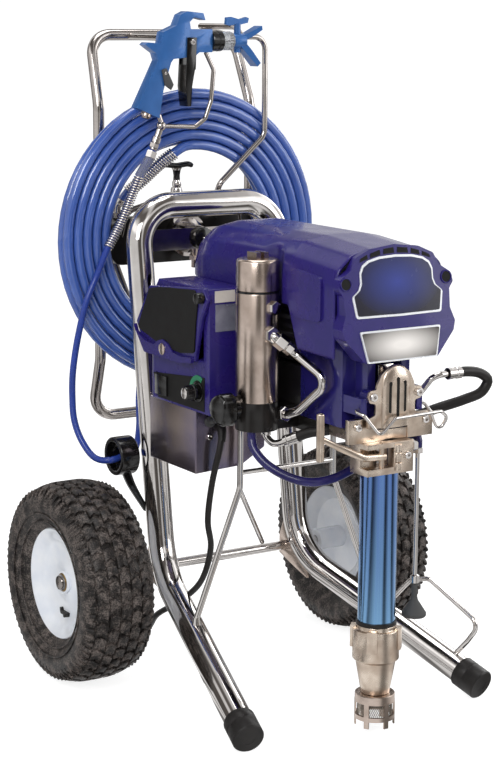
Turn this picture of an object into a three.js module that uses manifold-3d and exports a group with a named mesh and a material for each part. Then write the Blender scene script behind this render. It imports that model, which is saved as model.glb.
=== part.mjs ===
// Airless paint sprayer on a two-wheel cart, in millimetres, +Z up.
// While it is drawn, X = 0 is the middle of the cart, Y = 0 the axle and Z = 0 the floor; the front faces -Y.
// The finished group is moved so that its origin is the bottom centre of the sprayer without its mains lead.
import * as THREE from "three";
import { mergeVertices } from "three/addons/utils/BufferGeometryUtils.js";
import Module from "manifold-3d";

const wasm = await Module();
wasm.setup();

// ---------------------------------------------------------------- driving dimensions
const GAP = 0.3; // between pieces that touch
const RUNNING_GAP = 0.5; // between pieces that turn or slide in each other

// Wheels
const WHEEL_RADIUS = 165;
const TYRE_WIDTH = 127;
const TYRE_WALL = 11;
const TRACK = 550;
const RIM_RADIUS = 91.6;
const RIM_WIDTH = 86;
const RIM_WELL_RADIUS = 72;
const RIM_LIP = 5;
const DISH_DEPTH = 18;
const HUB_RADIUS = 19;
const HUB_LENGTH = 108;
const AXLE_RADIUS = 8;
const AXLE_CAP_RADIUS = 13;

// Frame
const TUBE_RADIUS = 22;
const HOOP_HALF_WIDTH = 135;
const HOOP_BEND_Y = -36;
const HOOP_BEND_Z = 164;
const HOOP_TOP_Z = 768;
const HOOP_LEAN = 0.143;
const HOOP_CORNER = 65;
const LEG_BEND = 110;
const FOOT_X = 222;
const FOOT_Y = -440;
const CAP_RADIUS = 25;
const CAP_LENGTH = 45;
const CAP_END = 5;
const CAP_CLEARANCE = 0.55;
const BRACKET_THICKNESS = 6;
const STRUT_RADIUS = 5;
const STRUT_Y = -203;
const STRUT_TOP_X = 90;
const STRUT_KNEE_Z = 340;
const SIDE_ROD_RADIUS = 4;

// Hose reel
const HUB_Z = 708;
const LOOP_RADIUS = 9.5;
const LOOP_HALF_WIDTH = 150;
const LOOP_Y = 152;
const LOOP_TOP_Z = 1046;
const LOOP_TOP_Y = 195;
const LOOP_BOTTOM_Z = 392;
const LOOP_BOTTOM_Y = 184;
const BEAM_HEIGHT = 78;
const BEAM_FRONT_Y = 128;
const BEAM_BACK_Y = 164;
const ROD_Y = 84;
const ROD_RADIUS = 5;
const BRACE_RADIUS = 6;
const SPINDLE_RADIUS = 12;
const FLANGE_RADIUS = 36;
const SWIVEL_RADIUS = 20;
const LATCH_RADIUS = 10.7;
const LATCH_TOP_Z = 830;
const BEAM_TOP_Z = 740;
const BEAM_CORNER = 20;
const COLLAR_TOP_Z = 787;
const PIN_Y = 150;
const PIN_RADIUS = 5;
const LOOP_KINK_LOW_Z = 500;
const LOOP_KINK_HIGH_Z = 930;
const LOOP_TOP_INSET = 8;
const STRAP_THICKNESS = 6;
const STRAP_HALF_WIDTH = 138;
const STRAP_HALF_HEIGHT = 18;
const CAP_REACH = 12;
const FLANGE_Y = 110;
const GUIDE_RADIUS = 32;
const GUIDE_BORE = 24;

// Hoses and leads
const HOSE_RADIUS = 8.25;
const HOSE_PITCH = 17.45;
const HOSE_INNER_TURN = 155;
const HOSE_FRONT_Y = 97.7;
const WHIP_RADIUS = 5.5;
const SPRING_WIRE = 0.9;
const TURN_STEPS = 20; // rings of a hose in one turn
const BLACK_HOSE_RADIUS = 8;
const DRAIN_HOSE_RADIUS = 7;
const STEEL_TUBE_RADIUS = 4;
const PIPE_RADIUS = 6;
const LEAD_RADIUS = 5;
const LEAD_PITCH = 10.9;
const LEAD_COIL_RADIUS = 60;

// Drive
const SHROUD_HALF_WIDTH = 100;
const SHROUD_WALL = 3;
const POCKET_CLEARANCE = 4;
const SHROUD_BACK_Y = -62;
const SHROUD_FRONT_Y = -470;
const SHROUD_TOP_Z = 757;
const SKIRT_Z = 590;
const PANEL_TOP_Y = -476;
const PANEL_BOTTOM_Y = -506;
const PANEL_BOTTOM_Z = 586;
const PANEL_TOP_Z = 752;
const BADGE_THICKNESS = 2;
const TRAY_Z = 455;
const TRAY_THICKNESS = 23;
const MOTOR_RADIUS = 62;
const MOTOR_FIN = 6;
const MOTOR_FRONT_Y = -330;
const MOTOR_BACK_Y = -96;
const SHAFT_RADIUS = 6;
const MOTOR_Z = 602;
const GEAR_FRONT_Y = -424;
const CRANK_SHAFT_RADIUS = 8;
const CRANK_THROW = 20;
const HOUSING_BOTTOM_Z = 478.3;
const NOSE_Y = -470;
const BAR_HALF_WIDTH = 96.7;
const BAIL_Y = -479;
const BAIL_Z = 513;
const BAIL_WIRE = 2.3;
const PANEL_MID_Z = 669;
const PISTON_Z = 300;
const PINION_RADIUS = 11.7;
const GEAR_RADIUS = 42;
const GEAR_Z = 548;
const GEAR_THICKNESS = 16;
const HOUSING_HALF_WIDTH = 62;
const HOUSING_FRONT_Y = -440;
const HOUSING_TOP_Z = 622;
const NOSE_HALF_WIDTH = 38;
const GUARD_RADIUS = 28;
const GUARD_BOTTOM_Z = 483;
const GUARD_TOP_Z = 576;

// Pump
const PUMP_Y = -452;
const PUMP_RADIUS = 29;
const PUMP_BORE = 22;
const PUMP_TOP_Z = 459;
const PUMP_BOTTOM_Z = 170;
const FLANGE_Z = 462;
const FLANGE_THICKNESS = 16;
const CLAMP_BOTTOM_Z = 414;
const CLAMP_HEIGHT = 47.7;
const LEVER_PIVOT_X = -24;
const LEVER_PIVOT_Y = -490;
const LEVER_Z = 440;
const PISTON_ROD_RADIUS = 10;
const INTAKE_TOP_RADIUS = 36;
const STRAINER_RADIUS = 31;
const STRAINER_TOP_Z = 60;
const STRAINER_FOOT_Z = 9;

// Controls
const BOX_FACE_X = -170;
const BOX_INNER_X = -76;
const BOX_FRONT_Y = -240;
const BOX_BACK_Y = -62;
const BOX_BOTTOM_Z = 472;
const BOX_TOP_Z = 668;
const BASE_BOTTOM_Z = 369;
const COVER_THICKNESS = 9;
const COVER_PIVOT_Z = 662;
const KNOB_RADIUS = 13;
const KNOB_Y = -207;
const KNOB_Z = 505;
const BASE_FRONT_Y = -190;
const BASE_DEPTH = 145;

// Filter
const FILTER_X = -122;
const FILTER_Y = -300;
const FILTER_RADIUS = 33;
const FILTER_BASE_Z = 459;
const BOWL_BOTTOM_Z = 503;
const BOWL_TOP_Z = 670;
const FILTER_CAP_Z = 673;
const FILTER_CAP_HEIGHT = 48;
const PRIME_Y = -292;
const PRIME_Z = 493;

// Gun
const GUN_Y = 150;
const GUN_THICKNESS = 22;
// The gun is drawn behind the wound hose and then hung in front of it, nearer and so smaller.
const GUN_SCALE = 0.96779;
const GUN_SHIFT = [-53.88, -87.18, 34.87];
const HANGER_X = -68.4;
const HANGER_Z = 1043.3;
const BARREL_Z = 1036;
const BARREL_RADIUS = 18;
const TRIGGER_X = 23;
const TRIGGER_Z = 1034;
const TIP_X = 122;
const TIP_RADIUS = 6;

// ---------------------------------------------------------------- shape helpers
const v = (x, y, z) => new THREE.Vector3(x, y, z);
const AXIS_Z = v(0, 0, 1);

// A route through given points, whose rings lie exactly at the points.
class Route extends THREE.Curve {
  constructor(points) {
    super();
    this.points = points;
  }

  getUtoTmapping(u) {
    return u;
  }

  getPoint(t) {
    const along = t * (this.points.length - 1);
    const i = Math.min(Math.floor(along), this.points.length - 2);
    return this.points[i].clone().lerp(this.points[i + 1], along - i);
  }

  getTangent(t) {
    const i = Math.round(t * (this.points.length - 1));
    const before = this.points[Math.max(i - 1, 0)];
    const after = this.points[Math.min(i + 1, this.points.length - 1)];
    return after.clone().sub(before).normalize();
  }
}

// Corner points with each inner corner rounded to its radius.
function rounded(corners, radii, steps = 5) {
  const points = [corners[0].clone()];
  for (let i = 1; i < corners.length - 1; i++) {
    const radius = Array.isArray(radii) ? radii[i - 1] : radii;
    const back = corners[i - 1].clone().sub(corners[i]);
    const ahead = corners[i + 1].clone().sub(corners[i]);
    const half = back.angleTo(ahead) / 2;
    const reach = Math.min(radius / Math.tan(half), back.length() * 0.49, ahead.length() * 0.49);
    const start = corners[i].clone().addScaledVector(back.normalize(), reach);
    const end = corners[i].clone().addScaledVector(ahead.normalize(), reach);
    const arcRadius = reach * Math.tan(half);
    const centre = corners[i]
      .clone()
      .addScaledVector(back.clone().add(ahead).normalize(), arcRadius / Math.sin(half));
    const from = start.clone().sub(centre);
    const to = end.clone().sub(centre);
    const sweep = from.angleTo(to);
    for (let k = 0; k <= steps; k++) {
      const a = (sweep * k) / steps;
      const spoke = from
        .clone()
        .multiplyScalar(Math.sin(sweep - a))
        .addScaledVector(to, Math.sin(a))
        .divideScalar(Math.sin(sweep));
      points.push(centre.clone().add(spoke));
    }
  }
  points.push(corners[corners.length - 1].clone());
  return points;
}

// A smooth curve through hand-chosen points, sampled every `step` millimetres.
function smooth(points, step) {
  const curve = new THREE.CatmullRomCurve3(points, false, "centripetal");
  return curve.getSpacedPoints(Math.max(4, Math.round(curve.getLength() / step)));
}

// A smooth route whose first and last stretches stay straight.
function hoseRoute(points, step) {
  const last = points.length - 1;
  return [points[0], ...smooth(points.slice(1, last), step), points[last]];
}

function ring(radius, sides) {
  const shape = new THREE.Shape();
  for (let i = 0; i < sides; i++) {
    const a = (i / sides) * Math.PI * 2;
    const move = i ? "lineTo" : "moveTo";
    shape[move](Math.cos(a) * radius, Math.sin(a) * radius);
  }
  return shape;
}

// A closed round tube whose rings stand on the given points.
function tube(points, radius, sides = 10) {
  return new THREE.ExtrudeGeometry(ring(radius, sides), {
    extrudePath: new Route(points),
    steps: points.length - 1,
    curveSegments: 1,
  });
}

function rod(from, to, radius, sides = 16, endRadius = radius) {
  const way = to.clone().sub(from);
  const geometry = new THREE.CylinderGeometry(endRadius, radius, way.length(), sides);
  const turn = new THREE.Quaternion().setFromUnitVectors(v(0, 1, 0), way.clone().normalize());
  geometry.applyQuaternion(turn);
  const middle = from.clone().addScaledVector(way, 0.5);
  return geometry.translate(middle.x, middle.y, middle.z);
}

function box(x0, x1, y0, y1, z0, z1) {
  return new THREE.BoxGeometry(x1 - x0, y1 - y0, z1 - z0).translate(
    (x0 + x1) / 2,
    (y0 + y1) / 2,
    (z0 + z1) / 2,
  );
}

// A body of revolution about a vertical axis; the profile is [radius, height] pairs.
function turned(profile, x = 0, y = 0, sides = 24) {
  const points = profile.map(([r, z]) => new THREE.Vector2(r, z));
  return new THREE.LatheGeometry(points, sides).rotateX(Math.PI / 2).translate(x, y, 0);
}

// A body of revolution about the X axis; the profile is [radius, distance] pairs and runs along +X.
function turnedX(profile, y, z, sides = 32) {
  const points = profile.map(([r, x]) => new THREE.Vector2(r, x));
  return new THREE.LatheGeometry(points, sides).rotateZ(-Math.PI / 2).translate(0, y, z);
}

function outline(points) {
  return new THREE.Shape(points.map(([a, b]) => new THREE.Vector2(a, b)));
}

const slab = (points, depth) =>
  new THREE.ExtrudeGeometry(outline(points), { depth, bevelEnabled: false });

// An outline in X and Z, from yBack towards the front by `depth`.
const plateXZ = (points, yBack, depth) => slab(points, depth).rotateX(Math.PI / 2).translate(0, yBack, 0);

// An outline in Y and Z, from x0 towards +X by `depth`.
const plateYZ = (points, x0, depth) =>
  slab(points, depth)
    .applyMatrix4(new THREE.Matrix4().makeBasis(v(0, 1, 0), v(0, 0, 1), v(1, 0, 0)))
    .translate(x0, 0, 0);

// An outline in X and Y, from z0 up by `depth`.
const plateXY = (points, z0, depth) => slab(points, depth).translate(0, 0, z0);

const mirrored = (half) => [...half, ...half.map(([a, b]) => [-a, b]).reverse()];

function solid(shape) {
  if (!shape.isBufferGeometry) return shape;
  const bare = shape.clone();
  bare.deleteAttribute("normal");
  bare.deleteAttribute("uv");
  const merged = mergeVertices(bare, 1e-4);
  const triVerts = new Uint32Array(merged.index.array);
  const mesh = { numProp: 3, vertProperties: merged.attributes.position.array, triVerts };
  const made = new wasm.Manifold(new wasm.Mesh(mesh));
  if (made.volume() > 0) return made;
  for (let i = 0; i < triVerts.length; i += 3) {
    [triVerts[i + 1], triVerts[i + 2]] = [triVerts[i + 2], triVerts[i + 1]];
  }
  return new wasm.Manifold(new wasm.Mesh(mesh));
}

const join = (...shapes) => shapes.map(solid).reduce((a, b) => a.add(b));
const cut = (shape, ...tools) => tools.map(solid).reduce((a, b) => a.subtract(b), solid(shape));
const common = (...shapes) => shapes.map(solid).reduce((a, b) => a.intersect(b));

function geometryOf(shape) {
  const { vertProperties, triVerts } = solid(shape).getMesh();
  const geometry = new THREE.BufferGeometry();
  geometry.setAttribute("position", new THREE.BufferAttribute(vertProperties, 3));
  geometry.setIndex(new THREE.BufferAttribute(triVerts, 1));
  return geometry;
}

// ---------------------------------------------------------------- materials
const finish = (color, roughness, metalness) =>
  new THREE.MeshStandardMaterial({ color, roughness, metalness });
const CHROME = () => finish(0xc9c9cc, 0.12, 1);
const STEEL = () => finish(0xb3aba0, 0.35, 1);
const BLUE = () => finish(0x26308f, 0.25, 0.1);
const GUN_BLUE = () => finish(0x1f56ad, 0.4, 0.1);
const HOSE_BLUE = () => finish(0x2347a8, 0.3, 0);
const TAN = () => finish(0xb7a283, 0.5, 0.7);
const BLACK = () => finish(0x1c1a18, 0.5, 0.1);
const RUBBER = () => finish(0x2a2523, 0.8, 0);
const WHITE = () => finish(0xd9e0ea, 0.3, 0.1);

const sprayer = new THREE.Group();
const cordNames = new Set();

function add(name, material, shape, group = sprayer) {
  const mesh = new THREE.Mesh(geometryOf(shape), material);
  mesh.name = name;
  group.add(mesh);
  return mesh;
}

// ---------------------------------------------------------------- cart
const hoopY = (z) => HOOP_BEND_Y + HOOP_LEAN * (z - HOOP_BEND_Z);
const footZ = CAP_RADIUS * 0.96 - 0.6;
const footEnd = (side) => v(side * FOOT_X, FOOT_Y, footZ);
const bendPoint = (side) => v(side * HOOP_HALF_WIDTH, HOOP_BEND_Y, HOOP_BEND_Z);
const legWay = (side) => footEnd(side).sub(bendPoint(side)).normalize();
const legPoint = (side, y) => {
  const share = (y - HOOP_BEND_Y) / (FOOT_Y - HOOP_BEND_Y);
  return bendPoint(side).lerp(footEnd(side), share);
};

function frameHoop() {
  const legEnd = (side) => footEnd(side).addScaledVector(legWay(side), -CAP_END - GAP);
  const corner = (side) => v(side * HOOP_HALF_WIDTH, hoopY(HOOP_TOP_Z), HOOP_TOP_Z);
  const corners = [legEnd(-1), bendPoint(-1), corner(-1), corner(1), bendPoint(1), legEnd(1)];
  const radii = [LEG_BEND, HOOP_CORNER, HOOP_CORNER, LEG_BEND];
  const hoop = tube(rounded(corners, radii, 4), TUBE_RADIUS, 12);
  add("frame_hoop", CHROME(), join(hoop, sideRod()));
}

function footCap(side, name) {
  const end = footEnd(side);
  const way = legWay(side);
  const back = end.clone().addScaledVector(way, -CAP_LENGTH);
  const seat = end.clone().addScaledVector(way, -CAP_END);
  const floor = box(-400, 400, -600, 0, -60, 0);
  const hole = rod(back.clone().addScaledVector(way, -9), seat, TUBE_RADIUS + CAP_CLEARANCE, 16);
  add(name, RUBBER(), cut(rod(back, end, CAP_RADIUS, 16), hole, floor));
}

// A gusset that grips the frame tube and carries the axle behind it.
function axleBracket(side, name) {
  const inner = HOOP_HALF_WIDTH - BRACKET_THICKNESS / 2;
  const arm = AXLE_RADIUS + 9;
  const profile = [
    [-70, 122],
    [-20, WHEEL_RADIUS - arm - 12],
    [arm, WHEEL_RADIUS - arm],
    [arm, WHEEL_RADIUS + arm],
    [2, 216],
    [-30, 232],
  ];
  const plate = plateYZ(profile, inner, BRACKET_THICKNESS);
  const tubeTool = tube(
    rounded([v(HOOP_HALF_WIDTH, hoopY(400), 400), bendPoint(1), legPoint(1, -300)], LEG_BEND, 5),
    TUBE_RADIUS + 3 * CAP_CLEARANCE,
    16,
  );
  const bore = rod(v(0, 0, WHEEL_RADIUS), v(300, 0, WHEEL_RADIUS), AXLE_RADIUS + GAP, 16);
  const geometry = cut(plate, tubeTool, bore);
  const bodies = geometry.decompose().sort((a, b) => b.volume() - a.volume());
  const kept = bodies.find((b) => b.boundingBox().max[1] > arm - 1);
  add(name, STEEL(), side > 0 ? kept : kept.mirror([1, 0, 0]));
}

function axle() {
  const half = TRACK / 2 + RIM_WIDTH / 2 - DISH_DEPTH + 6;
  const shaft = rod(v(-half, 0, WHEEL_RADIUS), v(half, 0, WHEEL_RADIUS), AXLE_RADIUS, 16);
  const caps = [-1, 1].map((side) =>
    rod(
      v(side * (half - 0.5), 0, WHEEL_RADIUS),
      v(side * (half + 7), 0, WHEEL_RADIUS),
      AXLE_CAP_RADIUS,
      16,
      AXLE_CAP_RADIUS - 3,
    ),
  );
  add("axle", STEEL(), join(shaft, ...caps));
}

function strutFrame() {
  const kneeX = STRUT_TOP_X;
  const top = TRAY_Z - GAP;
  const foot = (side) => {
    const p = legPoint(side, STRUT_Y);
    return v(p.x, STRUT_Y, p.z + TUBE_RADIUS + STRUT_RADIUS * 1.4);
  };
  const leg = (side) =>
    tube(
      rounded([foot(side), v(side * kneeX, STRUT_Y, STRUT_KNEE_Z), v(side * kneeX, STRUT_Y, top)], 40, 2),
      STRUT_RADIUS,
      8,
    );
  const crossZ = STRUT_KNEE_Z + 25;
  const cross = rod(v(-kneeX, STRUT_Y, crossZ), v(kneeX, STRUT_Y, crossZ), STRUT_RADIUS - 1, 10);
  const stayTop = v(-kneeX, STRUT_Y, STRUT_KNEE_Z - 4);
  const stayFoot = v(84, -1, WHEEL_RADIUS + AXLE_RADIUS + 4.4);
  add("strut_frame", CHROME(), join(leg(-1), leg(1), cross, rod(stayFoot, stayTop, 4, 10)));
}

function sideRod() {
  const start = legPoint(1, -240);
  const end = legPoint(1, -385);
  const lift = TUBE_RADIUS - 2;
  const route = [
    v(start.x, start.y, start.z + lift),
    v(188, -292, 168),
    v(196, -330, 178),
    v(218, -436, 125),
    v(end.x + 2, end.y - 28, 92),
    v(end.x, end.y, end.z + lift),
  ];
  return tube(rounded(route, 22, 2), SIDE_ROD_RADIUS, 6);
}

// ---------------------------------------------------------------- wheels
function wheel(side, tag) {
  const outerX = side * (TRACK / 2 + RIM_WIDTH / 2);
  const place = (shape) => (side < 0 ? shape : shape.mirror([1, 0, 0])).translate(outerX, 0, 0);
  const lathe = (profile, sides) => solid(turnedX(profile, 0, WHEEL_RADIUS, sides));
  const w = RIM_WIDTH;
  const seat = RIM_RADIUS - 11.5;
  const bore = AXLE_RADIUS + RUNNING_GAP;
  const hubStart = DISH_DEPTH - 5;
  const hubEnd = hubStart + HUB_LENGTH;
  const rim = [
    [bore, hubStart],
    [HUB_RADIUS, hubStart],
    [HUB_RADIUS, DISH_DEPTH],
    [RIM_RADIUS - 18, DISH_DEPTH - 9],
    [RIM_RADIUS - 3, 0],
    [RIM_RADIUS, 0],
    [RIM_RADIUS, RIM_LIP],
    [seat, RIM_LIP + 4],
    [RIM_WELL_RADIUS, w * 0.35],
    [RIM_WELL_RADIUS, w * 0.65],
    [seat, w - RIM_LIP - 4],
    [RIM_RADIUS, w - RIM_LIP],
    [RIM_RADIUS, w],
    [RIM_RADIUS - 18, w - 9],
    [HUB_RADIUS, w - DISH_DEPTH],
    [HUB_RADIUS, hubEnd],
    [bore, hubEnd],
    [bore, hubStart],
  ];
  const hollow = [
    [HUB_RADIUS + 3, DISH_DEPTH + 3],
    [RIM_WELL_RADIUS - 3, DISH_DEPTH - 3],
    [RIM_WELL_RADIUS - 3, w - DISH_DEPTH + 3],
    [HUB_RADIUS + 3, w - DISH_DEPTH - 3],
    [HUB_RADIUS + 3, DISH_DEPTH + 3],
  ];
  const valveSlot = box(-2, DISH_DEPTH + 8, -20, 20, WHEEL_RADIUS - 62, WHEEL_RADIUS - 50);
  add("rim_" + tag, WHITE(), place(cut(lathe(rim, 18), lathe(hollow, 12), valveSlot)));
  const edge = (w - TYRE_WIDTH) / 2;
  const shoulder = WHEEL_RADIUS - 8;
  const widest = (RIM_RADIUS + WHEEL_RADIUS) / 2;
  const outside = [
    [seat + 1.2, RIM_LIP + 5.2],
    [RIM_RADIUS + 0.8, RIM_LIP + 0.6],
    [widest, edge],
    [shoulder, edge + 14],
    [WHEEL_RADIUS, w / 2 - 24],
  ];
  const inside = [
    [shoulder - TYRE_WALL, edge + TYRE_WALL + 8],
    [widest, edge + TYRE_WALL],
    [seat + 1.2, RIM_LIP + 16],
  ];
  const across = (list) => list.map(([r, x]) => [r, w - x]).reverse();
  const profile = [...outside, ...across(outside), ...across(inside), ...inside, outside[0]];
  add("tyre_" + tag, RUBBER(), place(lathe(profile, 22)));
}

// ---------------------------------------------------------------- hose reel
function reelBracket() {
  const front = hoopY(HUB_Z + STRAP_HALF_HEIGHT) + TUBE_RADIUS * 1.01 + GAP;
  const back = front + STRAP_THICKNESS;
  const strap = box(-STRAP_HALF_WIDTH, STRAP_HALF_WIDTH, front, back, HUB_Z - STRAP_HALF_HEIGHT, HUB_Z + STRAP_HALF_HEIGHT);
  const along = (y0, y1, radius, sides) => rod(v(0, y0, HUB_Z), v(0, y1, HUB_Z), radius, sides);
  const body = along(front, FLANGE_Y, SWIVEL_RADIUS, 16);
  const cap = along(front - CAP_REACH, front, SWIVEL_RADIUS - 1, 16);
  const flange = along(FLANGE_Y, BEAM_FRONT_Y - GAP, FLANGE_RADIUS, 20);
  const spindle = along(BEAM_FRONT_Y - GAP, BEAM_BACK_Y + 3, SPINDLE_RADIUS, 16);
  const groove = cut(
    along(PIN_Y - 6, PIN_Y + 6, SPINDLE_RADIUS + 2, 16),
    along(PIN_Y - 7, PIN_Y + 7, SPINDLE_RADIUS - 3, 16),
  );
  add("reel_bracket", CHROME(), cut(join(strap, body, cap, flange, spindle), groove));
}

function reelLoop(group) {
  const overlap = 1;
  const half = (side) => {
    const x = side * LOOP_HALF_WIDTH;
    const corners = [
      v(-side * overlap, LOOP_BOTTOM_Y, LOOP_BOTTOM_Z),
      v(x, LOOP_BOTTOM_Y, LOOP_BOTTOM_Z),
      v(x, LOOP_Y, LOOP_KINK_LOW_Z),
      v(x, LOOP_Y, LOOP_KINK_HIGH_Z),
      v(x - side * LOOP_TOP_INSET, LOOP_TOP_Y, LOOP_TOP_Z),
      v(-side * overlap, LOOP_TOP_Y, LOOP_TOP_Z),
    ];
    return tube(rounded(corners, [45, 60, 60, 40], 2), LOOP_RADIUS, 8);
  };
  const gunBack = (GUN_Y + GUN_THICKNESS / 2) * GUN_SCALE + GUN_SHIFT[1] + GAP;
  const holder = rod(v(HANGER_X, gunBack, HANGER_Z), v(HANGER_X, LOOP_TOP_Y, HANGER_Z), 6, 10);
  add("reel_loop", CHROME(), join(half(-1), half(1), holder), group);
}

function reelBeam(group) {
  const half = LOOP_HALF_WIDTH - LOOP_RADIUS - GAP;
  const bottom = BEAM_TOP_Z - BEAM_HEIGHT;
  const round = BEAM_CORNER;
  const corner = (x, z, from) =>
    [0, 1, 2].map((i) => {
      const a = from + (i / 2) * (Math.PI / 2);
      return [x + Math.cos(a) * round, z + Math.sin(a) * round];
    });
  const section = [
    ...corner(half - round, BEAM_TOP_Z - round, 0),
    ...corner(-half + round, BEAM_TOP_Z - round, Math.PI / 2),
    ...corner(-half + round, bottom + round, Math.PI),
    ...corner(half - round, bottom + round, Math.PI * 1.5),
  ];
  const beam = plateXZ(section, BEAM_BACK_Y, BEAM_BACK_Y - BEAM_FRONT_Y);
  const bore = rod(v(0, 0, HUB_Z), v(0, 300, HUB_Z), SPINDLE_RADIUS + RUNNING_GAP * 1.6, 16);
  const pinBore = rod(v(0, PIN_Y, HUB_Z), v(0, PIN_Y, COLLAR_TOP_Z + 9), PIN_RADIUS + RUNNING_GAP, 12);
  const collar = rod(v(0, PIN_Y, BEAM_TOP_Z - 1), v(0, PIN_Y, COLLAR_TOP_Z), LATCH_RADIUS, 16);
  const foot = v(0, LOOP_BOTTOM_Y, LOOP_BOTTOM_Z);
  const brace = (side) => rod(v(side * (half - 16), PIN_Y, bottom + 8), foot, BRACE_RADIUS, 10);
  const bar = rod(v(-60, foot.y, foot.z), v(60, foot.y, foot.z), LOOP_RADIUS + CAP_CLEARANCE, 16);
  add("reel_beam", BLACK(), cut(join(beam, collar, brace(-1), brace(1)), bore, pinBore, bar), group);
}

function reelRod(group) {
  const over = LOOP_TOP_Z + LOOP_RADIUS + ROD_RADIUS + GAP;
  const route = [
    v(78, LOOP_TOP_Y + 6, over),
    v(80, ROD_Y + 6, over),
    v(92, ROD_Y, LOOP_TOP_Z - 2),
    v(137, ROD_Y, LOOP_TOP_Z - 2),
    v(137, ROD_Y, 877),
    v(47, ROD_Y, 797),
    v(45, ROD_Y + 12, 772),
    v(45, PIN_Y - 5, 762),
    v(45, PIN_Y - 5, BEAM_TOP_Z + GAP),
  ];
  add("reel_rod", CHROME(), tube(rounded(route, 10, 1), ROD_RADIUS, 8), group);
}

function reelPin(group) {
  const tip = HUB_Z + SPINDLE_RADIUS - 3 + RUNNING_GAP;
  const stemFoot = COLLAR_TOP_Z + GAP;
  const shaft = rod(v(0, PIN_Y, tip), v(0, PIN_Y, stemFoot + 2), PIN_RADIUS, 12);
  const stem = rod(v(0, PIN_Y, stemFoot), v(0, PIN_Y, LATCH_TOP_Z - 6), PIN_RADIUS + 2, 12);
  const bar = rod(v(-29, PIN_Y, LATCH_TOP_Z - 4.5), v(29, PIN_Y, LATCH_TOP_Z - 4.5), 4.5, 12);
  add("reel_pin", CHROME(), join(shaft, stem, bar), group);
}

function hoseGuide() {
  const centre = v(-187.6, 8.7, 363);
  const half = 17;
  const profile = [
    [GUIDE_BORE, centre.x - half],
    [GUIDE_RADIUS, centre.x - half],
    [GUIDE_RADIUS, centre.x + half],
    [GUIDE_BORE, centre.x + half],
    [GUIDE_BORE, centre.x - half],
  ];
  const band = turnedX(profile, centre.y, centre.z, 16);
  const arm = rod(v(centre.x + 4, centre.y - 6, centre.z - GUIDE_BORE - 4), v(-140, -10, 262), 6, 10);
  const post = (z) => v(-HOOP_HALF_WIDTH, hoopY(z), z);
  const clear = rod(post(200), post(330), TUBE_RADIUS + CAP_CLEARANCE, 24);
  const kept = cut(join(band, arm), clear).decompose().sort((a, b) => b.volume() - a.volume());
  add("hose_guide", BLACK(), kept[0]);
}

// ---------------------------------------------------------------- soft and wound forms
// The value at `t` of straight stretches through [t, value] pairs.
function between(pairs, t) {
  const i = Math.max(1, pairs.findIndex(([a]) => a >= t));
  const [t0, a] = pairs[i - 1];
  const [t1, b] = pairs[i];
  return a + ((b - a) * (t - t0)) / (t1 - t0);
}

// Rings of a flat winding: the spread and the rise are in pitches and go by turns.
function winding(inner, pitch, spread, rise, place) {
  const steps = TURN_STEPS;
  const turns = spread[spread.length - 1][0];
  return Array.from({ length: turns * steps + 1 }, (_, i) => {
    const t = i / steps;
    const radius = inner + pitch * between(spread, t);
    return place(radius, t * Math.PI * 2, pitch * between(rise, t));
  });
}

// Prints the least gap between two stretches of one tube that aren't neighbours.
function measureGap(name, points, radius) {
  const fine = [];
  for (let i = 0; i + 1 < points.length; i++) {
    for (const k of [0, 1 / 3, 2 / 3]) fine.push(points[i].clone().lerp(points[i + 1], k));
  }
  const along = [0];
  for (let i = 1; i < fine.length; i++) along.push(along[i - 1] + fine[i].distanceTo(fine[i - 1]));
  let least = Infinity;
  for (let i = 0; i < fine.length; i++) {
    for (let j = i + 1; j < fine.length; j++) {
      if (along[j] - along[i] < radius * 5) continue;
      least = Math.min(least, fine[i].distanceTo(fine[j]));
    }
  }
  console.log(name, "length", along[along.length - 1].toFixed(0), "gap", (least - 2 * radius).toFixed(2));
}

const tailWay = v(-16, 0, 4).normalize();

function hoseCoil(group) {
  const spread = [[0, 0], [5, 5], [5.1, 5.07], [5.25, 5.14], [5.5, 5], [6, 4.62], [6.25, 4.24], [6.5, 3.96], [10.5, 0]];
  const rise = [[0, 0], [5, 0], [5.5, 1], [10.5, 1]];
  const turns = winding(HOSE_INNER_TURN, HOSE_PITCH, spread, rise, (r, a, y) =>
    v(r * Math.sin(a), HOSE_FRONT_Y + y, HUB_Z + r * Math.cos(a)),
  );
  const lead = smooth(innerEnd, HOSE_RADIUS * 2);
  const tailEnd = turns[turns.length - 1].clone().addScaledVector(tailWay, HOSE_RADIUS * 2);
  const points = [...lead.slice(0, -1), ...turns, tailEnd];
  measureGap("hose_coil", points, HOSE_RADIUS);
  add("hose_coil", HOSE_BLUE(), tube(points, HOSE_RADIUS, 6), group);
  return tailEnd;
}

// A spring wound round a route.
function spring(route, radius, curls, wire) {
  const steps = 8;
  const curve = new THREE.CatmullRomCurve3(route, false, "centripetal");
  const points = [];
  for (let i = 0; i <= curls * steps; i++) {
    const u = i / (curls * steps);
    const way = curve.getTangentAt(u);
    const side = v(0, 1, 0).cross(way).normalize();
    const up = way.clone().cross(side);
    const a = (i / steps) * Math.PI * 2;
    points.push(
      curve
        .getPointAt(u)
        .addScaledVector(side, Math.cos(a) * radius)
        .addScaledVector(up, Math.sin(a) * radius),
    );
  }
  return tube(points, wire, 5);
}

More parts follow.
